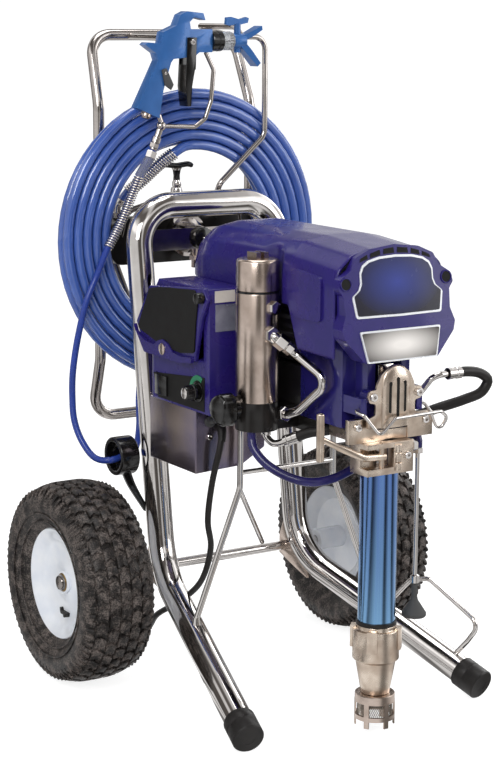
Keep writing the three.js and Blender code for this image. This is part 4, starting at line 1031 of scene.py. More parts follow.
def screw(
    name: str, body: Body, centre: Point, axis: Point, radius: float, finish: Finish = Finishes.CHROME
) -> None:
    """Add a socket-head screw whose head sits on a face.

    Args:
        name: The screw's name.
        body: The body that carries it.
        centre: The middle of the seat.
        axis: The way the head points.
        radius: The head's radius.
        finish: Its surface.
    """
    high, socket, sunk = radius * 0.9, radius * 0.5, -0.5
    outside = [(0, sunk), (radius, sunk), (radius, high * 0.85), (radius * 0.88, high)]
    profile = [*outside, (socket, high), (socket, high * 0.4), (0, high * 0.4)]
    Form().lathe(profile, centre, axis, 24).piece(name, body, finish)


# ---------------------------------------------------------------- studio


@dataclass
class Studio:
    """Camera, floor, backdrop and lamps."""

    eye: Point = (-1.67280, -2.554573, 1.08251)
    look: Point = (0.52984511, 0.82697847, -0.18807118)
    roll: float = math.radians(0.4)
    focal_px: float = 1912.79

    def camera(self) -> None:
        """Stand the camera where the photograph was taken."""
        forward = Vector(self.look).normalized()
        right = forward.cross(Vector((0, 0, 1))).normalized()
        up = right.cross(forward)
        turned_right = right * math.cos(self.roll) + up * math.sin(self.roll)
        turned_up = up * math.cos(self.roll) - right * math.sin(self.roll)
        data = bpy.data.cameras.new("camera")
        data.sensor_fit = "VERTICAL"
        data.sensor_height = SENSOR_HEIGHT
        data.lens = SENSOR_HEIGHT * self.focal_px / IMAGE_HEIGHT
        data.clip_end = 60.0
        camera = bpy.data.objects.new("camera", data)
        bpy.context.scene.collection.objects.link(camera)
        turn = Matrix((turned_right, turned_up, -forward)).transposed().to_4x4()
        camera.matrix_world = Matrix.Translation(self.eye) @ turn
        bpy.context.scene.camera = camera

    def lamps(self) -> None:
        """Add soft lamps above, at the left front and at the right."""
        target = Vector((0.0, 0.0, 0.5))
        lights = (
            ("key", (-2.6, -2.2, 2.6), 1.6, 62.0), ("fill", (2.8, -2.4, 1.7), 2.0, 34.0),
            ("top", (0.2, 0.4, 3.2), 1.6, 30.0), ("rim", (3.2, 1.4, 1.7), 1.6, 20.0),
        )
        for name, place, size, power in lights:
            data = bpy.data.lights.new(name, "AREA")
            data.shape = "SQUARE"
            data.size = size
            data.energy = power
            lamp = bpy.data.objects.new(name, data)
            bpy.context.scene.collection.objects.link(lamp)
            way = target - Vector(place)
            lamp.matrix_world = Matrix.Translation(place) @ way.to_track_quat("-Z", "Y").to_matrix().to_4x4()

    def world(self) -> None:
        """Light softly from all round, white behind the object, with darker bands for reflections."""
        world = bpy.data.worlds.new("studio")
        world.use_nodes = True
        bpy.context.scene.world = world
        graph = Graph(world.node_tree)
        where = graph.node("ShaderNodeTexCoord").pick("Generated")
        height = graph.node("ShaderNodeSeparateXYZ", {}, {"Vector": where}).pick("Z")
        white, dark, darkest = (1.0, 1.0, 1.0), (0.1, 0.09, 0.085), (0.05, 0.045, 0.04)
        stops = [
            (0.0, (0.5, 0.5, 0.5)), (0.46, (0.6, 0.6, 0.6)), (0.5, darkest), (0.7, darkest),
            (0.73, (0.9, 0.9, 0.9)), (0.8, white), (0.83, dark), (0.93, dark), (1.0, (0.7, 0.7, 0.7)),
        ]
        bands = graph.node("ShaderNodeValToRGB", {"stops": stops}, {"Fac": height * 0.5 + 0.5})
        side = graph.node("ShaderNodeSeparateXYZ", {}, {"Vector": where}).pick("X")
        across = [
            (0.0, white), (0.14, white), (0.2, dark), (0.36, (0.07, 0.065, 0.06)),
            (0.42, (0.85, 0.85, 0.85)), (0.47, (0.9, 0.9, 0.9)), (0.52, dark), (0.72, dark), (0.8, white),
            (1.0, white),
        ]
        columns = graph.node("ShaderNodeValToRGB", {"stops": across}, {"Fac": side * 0.5 + 0.5})
        path = graph.node("ShaderNodeLightPath")
        studio = graph.mix(0.5, bands, columns)
        lit = graph.node("ShaderNodeBackground", {}, {"Color": white, "Strength": 0.5})
        glossy = graph.node("ShaderNodeBackground", {}, {"Color": studio, "Strength": 1.5})
        plain = graph.node("ShaderNodeBackground", {}, {"Color": white, "Strength": 1.0})
        seen = graph.node("ShaderNodeMixShader", {}, {0: path.pick("Is Glossy Ray"), 1: lit, 2: glossy})
        whole = graph.node("ShaderNodeMixShader", {}, {0: path.pick("Is Camera Ray"), 1: seen, 2: plain})
        graph.node("ShaderNodeOutputWorld", {}, {"Surface": whole})

    def floor(self) -> None:
        """Lay a white floor that keeps a soft shadow and looks darker in reflections."""
        material = bpy.data.materials.new("studio_floor")
        material.use_nodes = True
        graph = Graph(material.node_tree)
        where = graph.place()
        rings = graph.node("ShaderNodeVectorMath", {"operation": "LENGTH"}, {"Vector": where}).pick("Value")
        stops = [
            (0.0, (0.5, 0.5, 0.5)), (0.12, (0.75, 0.75, 0.75)), (0.2, (0.08, 0.075, 0.07)),
            (0.34, (0.1, 0.09, 0.085)), (0.42, (0.9, 0.9, 0.9)), (0.6, (0.6, 0.6, 0.6)),
            (1.0, (0.1, 0.09, 0.085)),
        ]
        near = graph.node("ShaderNodeValToRGB", {"stops": stops}, {"Fac": rings.ramp(0.0, 6.0)})
        split = graph.node("ShaderNodeSeparateXYZ", {}, {"Vector": where})
        turn = graph.node(
            "ShaderNodeMath", {"operation": "ARCTAN2"}, {0: split.pick("Y"), 1: split.pick("X")}
        )
        bright, dark = (1.0, 1.0, 1.0), (0.06, 0.055, 0.05)
        lit = ((0.0, 0.05), (0.16, 0.24), (0.31, 0.35), (0.44, 0.52), (0.6, 0.66), (0.74, 0.8), (0.9, 0.96))
        sectors = []
        for start, end in lit:
            sectors += [(start, bright), (end, bright), (end + 0.015, dark), (end + 0.035, dark)]
        columns = graph.node("ShaderNodeValToRGB", {"stops": sectors}, {"Fac": turn * (0.5 / math.pi) + 0.5})
        tone = graph.mix(0.72, near, columns)
        matt = graph.node("ShaderNodeBsdfDiffuse", {}, {"Color": (0.86, 0.86, 0.86)})
        glow = graph.node("ShaderNodeEmission", {}, {"Color": (1.0, 1.0, 1.0), "Strength": 1.7})
        mirror = graph.node("ShaderNodeEmission", {}, {"Color": tone, "Strength": 1.0})
        path = graph.node("ShaderNodeLightPath")
        seen = graph.node("ShaderNodeMixShader", {}, {0: path.pick("Is Camera Ray") * 0.5, 1: matt, 2: glow})
        whole = graph.node("ShaderNodeMixShader", {}, {0: path.pick("Is Glossy Ray"), 1: seen, 2: mirror})
        graph.node("ShaderNodeOutputMaterial", {}, {"Surface": whole})
        mesh = bmesh.new()
        reach, behind, top = 9.0, 14.0, 6.0
        rows = [(-reach, 0.0), (behind - 2, 0.0), (behind - 0.6, 0.4), (behind, 1.6), (behind, top)]
        grid = [[mesh.verts.new((x, y, z)) for x in (-reach, reach * 2)] for y, z in rows]
        for a, b in zip(grid, grid[1:]):
            mesh.faces.new((a[0], a[1], b[1], b[0]))
        data = bpy.data.meshes.new("floor")
        mesh.to_mesh(data)
        mesh.free()
        data.materials.append(material)
        floor = bpy.data.objects.new("floor", data)
        bpy.context.scene.collection.objects.link(floor)

    def build(self) -> None:
        """Build the whole studio."""
        bpy.context.scene.view_settings.view_transform = "Standard"
        self.camera()
        self.lamps()
        self.world()
        self.floor()
        LOG.info("studio: camera, lamps, backdrop")


# ---------------------------------------------------------------- cords and hoses


@dataclass
class Cords:
    """The wound hose, the other hoses and the mains lead, each one tube along its route."""

    hose_radius: float = 8.25
    hose_pitch: float = 17.45
    inner_turn: float = 155.0
    front_y: float = 97.7
    hub_z: float = HUB_Z
    whip_radius: float = 5.5
    lead_radius: float = 5.0
    lead_pitch: float = 10.9
    lead_coil: float = 60.0
    black_radius: float = 8.0
    drain_radius: float = 7.0
    guard_wire: float = 1.5
    guard_gap: float = 1.7
    tail_way: Point = (-16, 0, 4)
    inner_end: tuple[Point, ...] = (
        *HOSE_END,
        (-78, 126, 807),
        (-54, 112, 833),
        (-34, 101, 850),
        (-16.3, 97.7, 860.7),
        (0, 97.7, 863),
    )
    swivel: Point = (-99.4, 58, 860.4)

    def winding(
        self, inner: float, pitch: float, spread: Profile, rise: Profile,
        place: Callable[[float, float, float], Point], steps: int,
    ) -> list[Vector]:
        """Wind a flat coil.

        Args:
            inner: Radius of the inner turn.
            pitch: Distance between turns.
            spread: Turns outwards, in pitches, by turn.
            rise: Layers up, in pitches, by turn.
            place: Puts a radius, an angle and a rise in space.
            steps: Points in one turn.

        Returns:
            The coil's points.
        """
        made = []
        for i in range(int(spread[-1][0] * steps) + 1):
            t = i / steps
            radius = inner + pitch * between(spread, t)
            made.append(Vector(place(radius, t * math.tau, pitch * between(rise, t))))
        return made

    def declare(
        self, name: str, body: Body, finish: Finish, points: Sequence[Vector], radius: float, node: str,
        sides: int, **facts: Any,
    ) -> bpy.types.Object:
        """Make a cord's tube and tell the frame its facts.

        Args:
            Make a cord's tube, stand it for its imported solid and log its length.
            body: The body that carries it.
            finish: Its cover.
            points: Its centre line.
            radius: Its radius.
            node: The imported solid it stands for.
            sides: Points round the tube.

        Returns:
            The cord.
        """
        piece = Form().tube(points, radius, sides).piece(name, body, finish, 60.0)
        path = [tuple(metres(p)) for p in points]
        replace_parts(piece, node)
        length_of(points) * MM
        LOG.info("%s: %.0f mm long", name, length_of(points))
        return piece

    def spring(self, name: str, node: str, route: Sequence[Point], hose: float, curls: float) -> None:
        """Wind a spring guard round a stretch of hose.

        Args:
            name: The spring's name.
            node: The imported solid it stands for.
            route: The hose's points there.
            hose: The hose's radius.
            curls: Number of turns.
        """
        wire = helix(smooth(route, 4), hose + self.guard_gap, curls)
        piece = Form().tube(wire, self.guard_wire, 8).piece(name, Body.REEL, Finishes.CHROME, 60)
        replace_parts(piece, node)

    def coil(self) -> Vector:
        """Wind the spray hose on its reel.

        Returns:
            The outer end of the hose.
        """
        spread = [
            (0, 0), (5, 5), (5.1, 5.07), (5.25, 5.14), (5.5, 5), (6, 4.62), (6.25, 4.24), (6.5, 3.96),
            (10.5, 0),
        ]
        rise = [(0, 0), (5, 0), (5.5, 1), (10.5, 1)]
        turns = self.winding(
            self.inner_turn,
            self.hose_pitch,
            spread,
            rise,
            lambda r, a, y: (r * math.sin(a), self.front_y + y, self.hub_z + r * math.cos(a)),
            60,
        )
        way = Vector(self.tail_way).normalized()
        lead = smooth(self.inner_end, 8)
        tail = turns[-1] + way * (self.hose_radius * 2)
        points = [*lead[:-1], *turns, tail]
        self.spring("hose_guard_spring", "coil_spring", self.inner_end[1:5], self.hose_radius, 24)
        sleeve = Form().rod(tail - way * 26, tail + way * 0.2, self.hose_radius + 1.1, 32).bevel(0.6)
        ferrule = sleeve.piece("hose_tail_ferrule", Body.REEL, Finishes.STEEL)
        self.declare(
            "spray_hose", Body.REEL, Finishes.HOSE, points, self.hose_radius, "hose_coil", 14,
            far_end="fitting", stiffness="stiff", lay="coiled", with_pieces=[ferrule],
        )
        return tail

    def whip(self, tail: Vector) -> None:
        """Lead the thin hose from the coil through its guide and up to the gun.

        Args:
            tail: The outer end of the spray hose.
        """
        way = Vector(self.tail_way).normalized()
        up = Vector((16, 0, 40)).normalized()
        first = tail + way * 0.6
        swivel = Vector(self.swivel)
        route = [
            first, first + way * 12, (-46, 112, 569), (-62, 104, 578), (-79, 94, 586), (-93, 82, 584),
            (-104, 80, 560), (-111, 79, 500), (-118, 76, 440), (-123, 66, 395), (-143, 44, 362),
            (-187.6, 8.7, 361), (-212, 8.7, 357), (-227, 30, 359), (-238, 55, 384), (-243, 72, 417),
            (-241, 82, 457), (-240, 82, 491), (-234, 82, 532), (-225, 81, 574), (-213, 80, 615),
            (-194, 80, 655), (-178.4, 70, 701.4), (-153, 70, 742.3), (-135.5, 70, 779.1),
            (-120.8, 67, 815.9), swivel - up * 12, swivel - up * 0.6,
        ]
        points = hose_route(route, 7)
        self.declare(
            "whip_line", Body.REEL, Finishes.WHIP, points, self.whip_radius, "whip_hose", 16,
            far_end="object", stiffness="medium", lay="hanging",
        )
        self.spring("whip_guard_spring", "whip_spring", route[22:26], self.whip_radius, 30)
        sleeve = Form().tube(smooth(route[25:27], 4), self.whip_radius + 2.6, 24)
        sleeve.piece("whip_sleeve", Body.REEL, Finishes.CLEAR, 50)
        Form().nut(Vector(route[-1]) - up * 14, up, 19, 12).piece("whip_nut", Body.REEL, Finishes.CHROME)

    def lead(self) -> None:
        """Hang the mains lead from the control base and coil its unseen length on the floor."""
        floor_z = self.lead_radius + 0.1
        middle = Vector((-150, 230, 0))
        spread = [(0, 2), (2, 0), (2.25, -0.15), (2.5, -0.09), (3, 0.42), (3.25, 0.75), (3.5, 0.96), (4.5, 2)]
        turns = self.winding(
            self.lead_coil - self.lead_pitch,
            self.lead_pitch,
            spread,
            [(0, 0), (2, 0), (2.5, 1), (4.5, 1)],
            lambda r, a, z: (middle.x + r * math.cos(a), middle.y + r * math.sin(a), floor_z + z),
            48,
        )
        start = turns[0]
        drop = smooth(
            [
                (-124, -199, 444), (-131, -211, 422), (-140, -200, 356), (-136, -180, 288),
                (-112, -150, 232), (-104, -108, 165), (-103, -40, 112), (-103, 40, 66),
                (start.x - 6, 110, 18), (start.x, middle.y - 46, floor_z), start,
            ],
            9,
        )
        exit_at = (-124, -190.3, 444)
        points = [Vector(exit_at), *drop[:-1], *turns]
        plug = self.plug(points[-1], (points[-1] - points[-2]).normalized())
        self.declare(
            "mains_lead", Body.CART, Finishes.RUBBER, points, self.lead_radius, "power_lead", 14,
            far_end="plug", stiffness="medium", lay="coiled", with_pieces=plug,
        )
        relief = Form().tube(
            smooth([exit_at, (-125, -203, 440), (-130, -212, 422)], 3), lambda t: 9 - 3.4 * t, 20
        )
        relief.piece("lead_strain_relief", Body.CART, Finishes.RUBBER, 50)

    def plug(self, end: Vector, way: Vector) -> list[bpy.types.Object]:
        """Mould a mains plug on the lead's end.

        Args:
            end: The end of the lead.
            way: The lead's direction there.

        Returns:
            The plug's pieces.
        """
        level = Vector((way.x, way.y, 0)).normalized()
        drop = Vector((0, 0, -1.5))
        line = [end, end + level * 8 + drop * 0.3, end + level * 16 + drop, end + level * 38 + drop]
        swell = lambda t: 6 + 7 * min(1.0, max(0.0, (t - 0.2) * 2.2))
        shell = Form().tube(smooth(line, 3), swell, 24, flat=0.85).piece(
            "plug_body", Body.CART, Finishes.RUBBER, 40
        )
        side = level.cross(Vector((0, 0, 1)))
        front = end + level * 37.5 + drop
        prongs = Form()
        for offset in (-6.5, 6.5):
            foot = front + side * offset
            prongs.tube([foot, foot + level * 17], 3.2, 4, flat=0.3)
        pins = prongs.piece("plug_prongs", Body.CART, Finishes.BRASS)
        return [shell, pins]

    def outlet(self) -> None:
        """Loop the black outlet hose from the manifold round to its steel tube."""
        joint = Vector(OUTLET_JOINT)
        route = [
            (-97, -343, 444.5), (-92, -350, 448), (-76, -374, 461), (-58, -393, 466), (-37, -394, 467),
            (0, -394, 467), (40, -395, 467), (70, -397, 468), (95, -420, 478), (125, -434, 489),
            (165, -446, 500), (197, -449, 510), (207, -450, 527), (192, -451, 539), (165, -452, 545),
            joint + Vector((14, 0, 0)), joint + Vector((0.6, 0, 0)),
        ]
        self.declare(
            "outlet_line", Body.CART, Finishes.RUBBER, hose_route(route, 5), self.black_radius,
            "outlet_hose", 20,
            far_end="object", stiffness="stiff", lay="loose",
        )

    def drain(self) -> None:
        """Hang the dark blue drain hose from the prime valve round to the drain tube."""
        route = [
            (-140, -314, 458.7), (-140, -314, 449), (-141, -320, 436), (-132, -340, 414), (-110, -366, 396),
            (-84, -388, 388), (-50, -399, 391), (-13, -401, 402), (25, -401, 420), (50, -412, 437),
            (66, -430, 451), (72, -449, 453), (72, -452, 447), (72, -452, 437),
        ]
        self.declare(
            "drain_line", Body.CART, Finishes.DARK_HOSE, hose_route(route, 5), self.drain_radius,
            "drain_hose", 20,
            far_end="object", stiffness="medium", lay="hanging",
        )

    def build(self) -> None:
        """Make every cord and hose."""
        tail = self.coil()
        self.whip(tail)
        self.lead()
        self.outlet()
        self.drain()


# ---------------------------------------------------------------- cart


@dataclass
class Cart:
    """The tube cart with its caps, axle, brackets and struts."""

    tube: float = 22.0
    half: float = 135.0
    bend: Point = (135, -36, 164)
    top_z: float = 768.0
    lean: float = 0.143
    foot: Point = (222, -440, 23.4)
    axle_z: float = AXLE_Z
    hub_z: float = HUB_Z
    strut_y: float = -203.0
    strap_half: float = 138.0

    def hoop_y(self, z: float) -> float:
        """Give the hoop's Y at a height."""
        return self.bend[1] + self.lean * (z - self.bend[2])

    def leg(self, side: int, y: float) -> Vector:
        """Give the leg's middle at a Y."""
        share = (y - self.bend[1]) / (self.foot[1] - self.bend[1])
        low = Vector((side * self.foot[0], self.foot[1], self.foot[2]))
        return Vector((side * self.bend[0], self.bend[1], self.bend[2])).lerp(low, share)

    def way(self, side: int) -> Vector:
        """Give the direction down a leg."""
        return (self.leg(side, self.foot[1]) - self.leg(side, self.bend[1])).normalized()

    def hoop(self) -> None:
        """Bend the main hoop and weld the side rod on its right leg."""
        halves = [
            [
                self.leg(side, self.foot[1]) - self.way(side) * 5.3,
                (side * self.bend[0], self.bend[1], self.bend[2]),
                (side * self.half, self.hoop_y(self.top_z), self.top_z),
            ]
            for side in (-1, 1)
        ]
        corners = [*halves[0], *reversed(halves[1])]
        form = Form().tube(rounded(corners, [110, 65, 65, 110], 18), self.tube, 40)
        start, last, lift = self.leg(1, -240), self.leg(1, -385), self.tube - 2
        rod = [
            (start.x, start.y, start.z + lift), (188, -292, 168), (196, -330, 178), (218, -436, 125),
            (last.x + 2, last.y - 28, 92), (last.x, last.y, last.z + lift),
        ]
        form.tube(rounded(rod, 22, 8), 4, 16)
        for weld in (rod[0], rod[-1]):
            form.lathe([(0, -3), (5, -2.4), (7, 0), (5.4, 2), (0, 3)], weld, (0, 0.3, 1), 16)
        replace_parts(form.piece("chrome_hoop", Body.CART, Finishes.CHROME, 50), "frame_hoop")

    def caps(self) -> None:
        """Push a rubber cap on each foot."""
        for side, tag in SIDES:
            end, way = self.leg(side, self.foot[1]), self.way(side)
            profile = [
                (22.6, -45), (24.2, -45), (25, -43.5), (25, -27), (24.4, -26), (24.4, -24.5), (25, -23.5),
                (25, -2.5), (23.2, -0.4), (10, 0), (10, -5), (22.6, -5),
            ]
            cap = Form().lathe(profile, end, way, 56)
            cap.lathe([(0, -5), (10.5, -5), (10.5, -0.2), (0, -0.2)], end, way, 40)
            cap.place(lambda p: (p.x, p.y, max(p.z, 0.0)))
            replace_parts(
                cap.piece(f"foot_cap_{tag}_rubber", Body.CART, Finishes.RUBBER, 40), f"foot_cap_{tag}"
            )

    def axle(self) -> None:
        """Fit the axle shaft and its two push-on caps."""
        half = 306.0
        shaft = Form().rod((-half, 0, self.axle_z), (half, 0, self.axle_z), 8, 32)
        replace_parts(shaft.piece("axle_shaft", Body.CART, Finishes.CHROME), "axle")
        for side, tag in SIDES:
            profile = [(8.1, -0.5), (13, -0.5), (13, 3), (11.5, 5.6), (8, 6.6), (3, 7), (3, 5), (0, 5)]
            seat = (side * half, 0, self.axle_z)
            cap = Form().lathe([(0, -0.5), *profile], seat, (side, 0, 0), 40)
            cap.piece(f"axle_cap_{tag}", Body.CART, Finishes.DARK_CHROME)
            dress(f"axle_bracket_{tag}", Body.CART, Finishes.STEEL, 0.7)

    def struts(self) -> None:
        """Weld the strut frame under the tray."""
        top, knee = 454.7, 340.0
        form = Form()
        for side in (-1, 1):
            p = self.leg(side, self.strut_y)
            foot = (p.x, self.strut_y, p.z + self.tube + 7)
            line = [foot, (side * 90, self.strut_y, knee), (side * 90, self.strut_y, top)]
            form.tube(rounded(line, 40, 8), 5, 20)
            form.tube(
                [(foot[0], foot[1], foot[2] - 8), (foot[0], foot[1], foot[2] + 4)], lambda t: 7.5 - 2.4 * t,
                16,
            )
        form.rod((-90, self.strut_y, knee + 25), (90, self.strut_y, knee + 25), 4, 16)
        form.rod((84, -1, self.axle_z + 12.4), (-90, self.strut_y, knee - 4), 4, 16)
        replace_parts(form.piece("strut_rods", Body.CART, Finishes.CHROME, 50), "strut_frame")

    def hub(self) -> None:
        """Build the reel's strap, swivel, cap and flange on the hoop."""
        z, wide = self.hub_z, self.strap_half
        front = self.hoop_y(z + 18) + self.tube * 1.01 + 0.3
        strap = Form().block((-wide, front, z - 18), (wide, front + 6, z + 18)).bevel(2.2)
        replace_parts(strap.piece("reel_strap", Body.CART, Finishes.SHADED_CHROME), "reel_bracket")
        body = [
            (0, front + 5), (20, front + 5), (20, front + 12), (17.5, front + 14), (17.5, front + 20),
            (20, front + 22), (20, 104), (24, 106), (30, 110.2), (36, 110.4), (36, 127.5), (12, 127.7),
            (12, 143.9), (9, 144.2), (9, 155.8), (12, 156.1), (12, 166), (11, 167), (0, 167),
        ]
        Form().lathe(body, (0, 0, z), (0, 1, 0), 56).piece(
            "reel_swivel", Body.CART, Finishes.SHADED_CHROME, 30
        )
        cap = [(0, -12), (15, -12), (18, -10.6), (19, -8), (19, 0), (0, 0)]
        Form().lathe(cap, (0, front, z), (0, 1, 0), 48).piece("reel_cap", Body.CART, Finishes.GLOSS_BLACK, 30)
        screw("reel_cap_screw", Body.CART, (0, front - 12, z), (0, -1, 0), 5)
        block = Form().block((-27, front + 8, z - 8), (-8, front + 26, z + 20)).bevel(2.5)
        block.piece("swivel_block", Body.CART, Finishes.DARK_CHROME)
        x, y = -4, front + 17
        fitting = Form().rod((x, y, z - 16), (x, y, z - 34), 6.5, 24)
        fitting.nut((x, y, z - 30), (0, 0, -1), 19, 9).rod((x, y, z - 34), (x, y, z - 52), 5, 20)
        fitting.piece("swivel_inlet", Body.CART, Finishes.STEEL)

    def guide(self) -> None:
        """Mould the hose guide ring and its arm."""
        centre = Vector((-187.6, 8.7, 363))
        ring = rounded_profile([(24, -17), (32, -17), (32, 17), (24, 17)], 2.5, True)
        form = Form().lathe(ring, centre, (1, 0, 0), 48)
        foot = Vector((-150, -4, 268))
        arm = [centre + Vector((4, -5, -27)), centre + Vector((12, -9, -50)), foot]
        form.tube(smooth(arm, 5), lambda t: 15 - 6 * t, 20, flat=0.42, across=(0, 1, 0))
        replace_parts(form.piece("guide_ring", Body.CART, Finishes.GLOSS_BLACK, 40), "hose_guide")

    def build(self) -> None:
        """Build the cart."""
        self.hoop()
        self.caps()
        self.axle()
        self.struts()
        self.hub()
        self.guide()
        dress("base_tray", Body.CART, Finishes.BLACK_PAINT, 1.6)
        LOG.info("cart: hoop, caps, axle, struts, reel hub, guide")


def rounded_profile(
    corners: Sequence[tuple[float, float]], radius: float, closed: bool = False, steps: int = 4
) -> list[tuple[float, float]]:
    """Round the corners of a flat profile.

    Args:
        corners: The profile's corners.
        radius: Radius of each corner.
        closed: Whether the profile closes on itself.
        steps: Stretches of each arc.

    Returns:
        The rounded profile.
    """
    flat = [Vector((a, b, 0)) for a, b in corners]
    if not closed:
        return [(p.x, p.y) for p in rounded(flat, radius, steps)]
    middle = (flat[-1] + flat[0]) / 2
    line = rounded([middle, *flat, middle], radius, steps)
    return [(p.x, p.y) for p in line[:-1]]


# ---------------------------------------------------------------- wheels


@dataclass
class Wheel:
    """One wheel: a dished white rim and a turf tyre with a block tread."""

    side: int
    track: float = 550.0
    rim_width: float = 86.0
    tyre_width: float = 127.0
    radius: float = AXLE_Z
    rim_radius: float = 91.6
    dish: float = 18.0
    block_count: int = 38

    @property
    def tag(self) -> str:
        """Give the side's name."""
        return "left" if self.side < 0 else "right"

    @property
    def body(self) -> Body:
        """Give the wheel's body."""
        return Body.WHEEL_LEFT if self.side < 0 else Body.WHEEL_RIGHT

    @property
    def outer(self) -> Point:
        """Give the axle's point at the rim's outer face."""
        return (self.side * (self.track / 2 + self.rim_width / 2), 0, self.radius)

    @property
    def inwards(self) -> Point:
        """Give the axis from the outer face inwards."""
        return (-self.side, 0, 0)

    def crown(self, u: float) -> float:
        """Give the tread's radius at a distance from the middle."""
        return self.radius - 8 * max(0.0, (abs(u) - 15) / 34.5) ** 2

    def rim(self) -> None:
        """Press the rim, with its hub tube, valve and bearing rings."""
        w, r = self.rim_width, self.rim_radius
        seat, hub = r - 11.5, 19.0
        start = self.dish - 5
        end = start + 108
        dish = [
            (hub, self.dish), (40, self.dish + 2), (r - 24, self.dish - 3), (r - 12, 6), (r - 3, 0.4),
            (r, 0.6), (r, 5),
        ]
        profile = [
            (8.5, start),
            (hub - 1, start),
            (hub, start + 1),
            *[(p.x, p.y) for p in smooth([(a, b, 0) for a, b in dish], 3)],
            (seat, 9),
            (72, w * 0.35),
            (72, w * 0.65),
            (seat, w - 9),
            (r, w - 5),
            (r, w - 1),
            (r - 3, w),
            (r - 18, w - 9),
            (r - 24, w - self.dish + 3),
            (hub, w - self.dish),
            (hub, end - 1),
            (hub - 1, end),
            (8.5, end),
        ]
        form = Form().lathe(profile, self.outer, self.inwards, 96)
        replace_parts(form.piece(f"rim_{self.tag}_pressed", self.body, Finishes.WHITE, 40), f"rim_{self.tag}")
        ring = [
            (9, start - 0.9), (14, start - 1.2), (15.5, start - 0.2), (15.5, start + 0.6), (9, start + 0.6)
        ]
        Form().lathe(ring, self.outer, self.inwards, 48).piece(
            f"bearing_ring_{self.tag}", self.body, Finishes.BRASS
        )
        x = self.outer[0] - self.side * (self.dish - 1)
        slot = [(-14, -56), (12, -56), (14, -50), (14, -46), (10, -46), (8, -50), (-14, -50)]
        valve = Form().prism([(a, self.radius + b) for a, b in slot], "YZ", x - 2.5, 5).bevel(1.2)
        valve.rod((x, -12, self.radius - 53), (x + self.side * 9, -14, self.radius - 53), 3.4, 16, 2.6)
        valve.piece(f"valve_{self.tag}", self.body, Finishes.RUBBER)

    def carcass(self) -> list[tuple[float, float]]:
        """Give the tyre's section, whose outside is the floor of the tread's grooves."""
        w, r = self.rim_width, self.rim_radius
        seat = r - 10.3
        half, middle = self.tyre_width / 2, w / 2
        outside = [
            (r + 1.6, 1.2), (r + 4, -1), (r + 9, -6), ((r + self.radius) / 2 - 8, middle - half + 3),
            ((r + self.radius) / 2, middle - half), (self.radius - 22, middle - half + 3),
            (self.radius - 13, middle - half + 11),
        ]
        tread = [(self.crown(u) - 5.2, middle + u) for u in range(-44, 45, 4)]
        mirror = [(a, w - b) for a, b in reversed(outside)]
        cavity = [(self.radius - 22, w / 2 + 34), (self.radius - 22, w / 2 - 34)]
        return [*outside, *tread, *mirror, (seat, w - 6), (seat, w - 20), *cavity, (seat, 20), (seat, 6)]

    def tyre(self) -> None:
        """Mould the tyre and its rows of blocks."""
        form = Form().lathe(self.carcass(), self.outer, self.inwards, 120)
        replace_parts(form.piece(f"tyre_{self.tag}_carcass", self.body, Finishes.TYRE, 50), f"tyre_{self.tag}")
        blocks = Form()
        step = math.tau / self.block_count
        pivot = Vector((self.side * self.track / 2, 0, self.radius))

        def block(corners: Sequence[tuple[float, float]]) -> None:
            """Stand one block on the tread from its (across, around) corners."""
            mid_u = sum(c[0] for c in corners) / len(corners)
            mid_a = sum(c[1] for c in corners) / len(corners)
            rings = []
            for low, shrink in ((-6.5, 1.0), (-0.5, 0.94), (0.0, 0.86)):
                ring = []
                for u, a in corners:
                    across, turn = mid_u + (u - mid_u) * shrink, (mid_a + (a - mid_a) * shrink) * step
                    r = self.crown(across) + low
                    ring.append(pivot + Vector((across, r * math.sin(turn), r * math.cos(turn))))
                rings.append(ring)
            blocks.skin(rings)

        for row, phase in ((-2, 0.0), (-1, 0.5), (0, 0.0), (1, 0.5), (2, 0.0)):
            u, half, lean = row * 19.6, 8.6, 0.2
            start, end = phase - 0.3, phase + 0.36
            lower = [(u - half, start), (u, start + lean), (u + half, start)]
            block([*lower, (u + half, end), (u, end + lean), (u - half, end)])
        for edge in (-1, 1):
            for phase in (0.0, 0.5):
                line = []
                for u, drop in ((50.5, 0.0), (56.5, 8.0), (60.5, 18.0)):
                    r = self.radius - 9 - drop
                    turn = phase * step
                    line.append(pivot + Vector((edge * u, r * math.sin(turn), r * math.cos(turn))))
                blocks.tube(line, lambda t: 3.4 - 1.2 * t, 6, across=(1, 0, 0))
        blocks.repeat(self.block_count, (360 / self.block_count, 0, 0), (0, 0, 0), pivot)
        blocks.piece(f"tyre_{self.tag}_tread", self.body, Finishes.TYRE, 40)
        for r, inset in ((104, 8.6), (118, 2.6)):
            x = self.side * (self.track / 2 + self.tyre_width / 2 - inset)
            line = [(x, r * math.sin(a), self.radius + r * math.cos(a)) for a in around(90)]
            ridge = Form().tube(line, 1.4, 8, True)
            ridge.piece(f"tyre_{self.tag}_ridge_{r}", self.body, Finishes.TYRE, 60)

    def build(self) -> None:
        """Build the wheel."""
        self.rim()
        self.tyre()
        LOG.info("wheel %s: rim, tyre, tread", self.tag)


# ---------------------------------------------------------------- hose reel


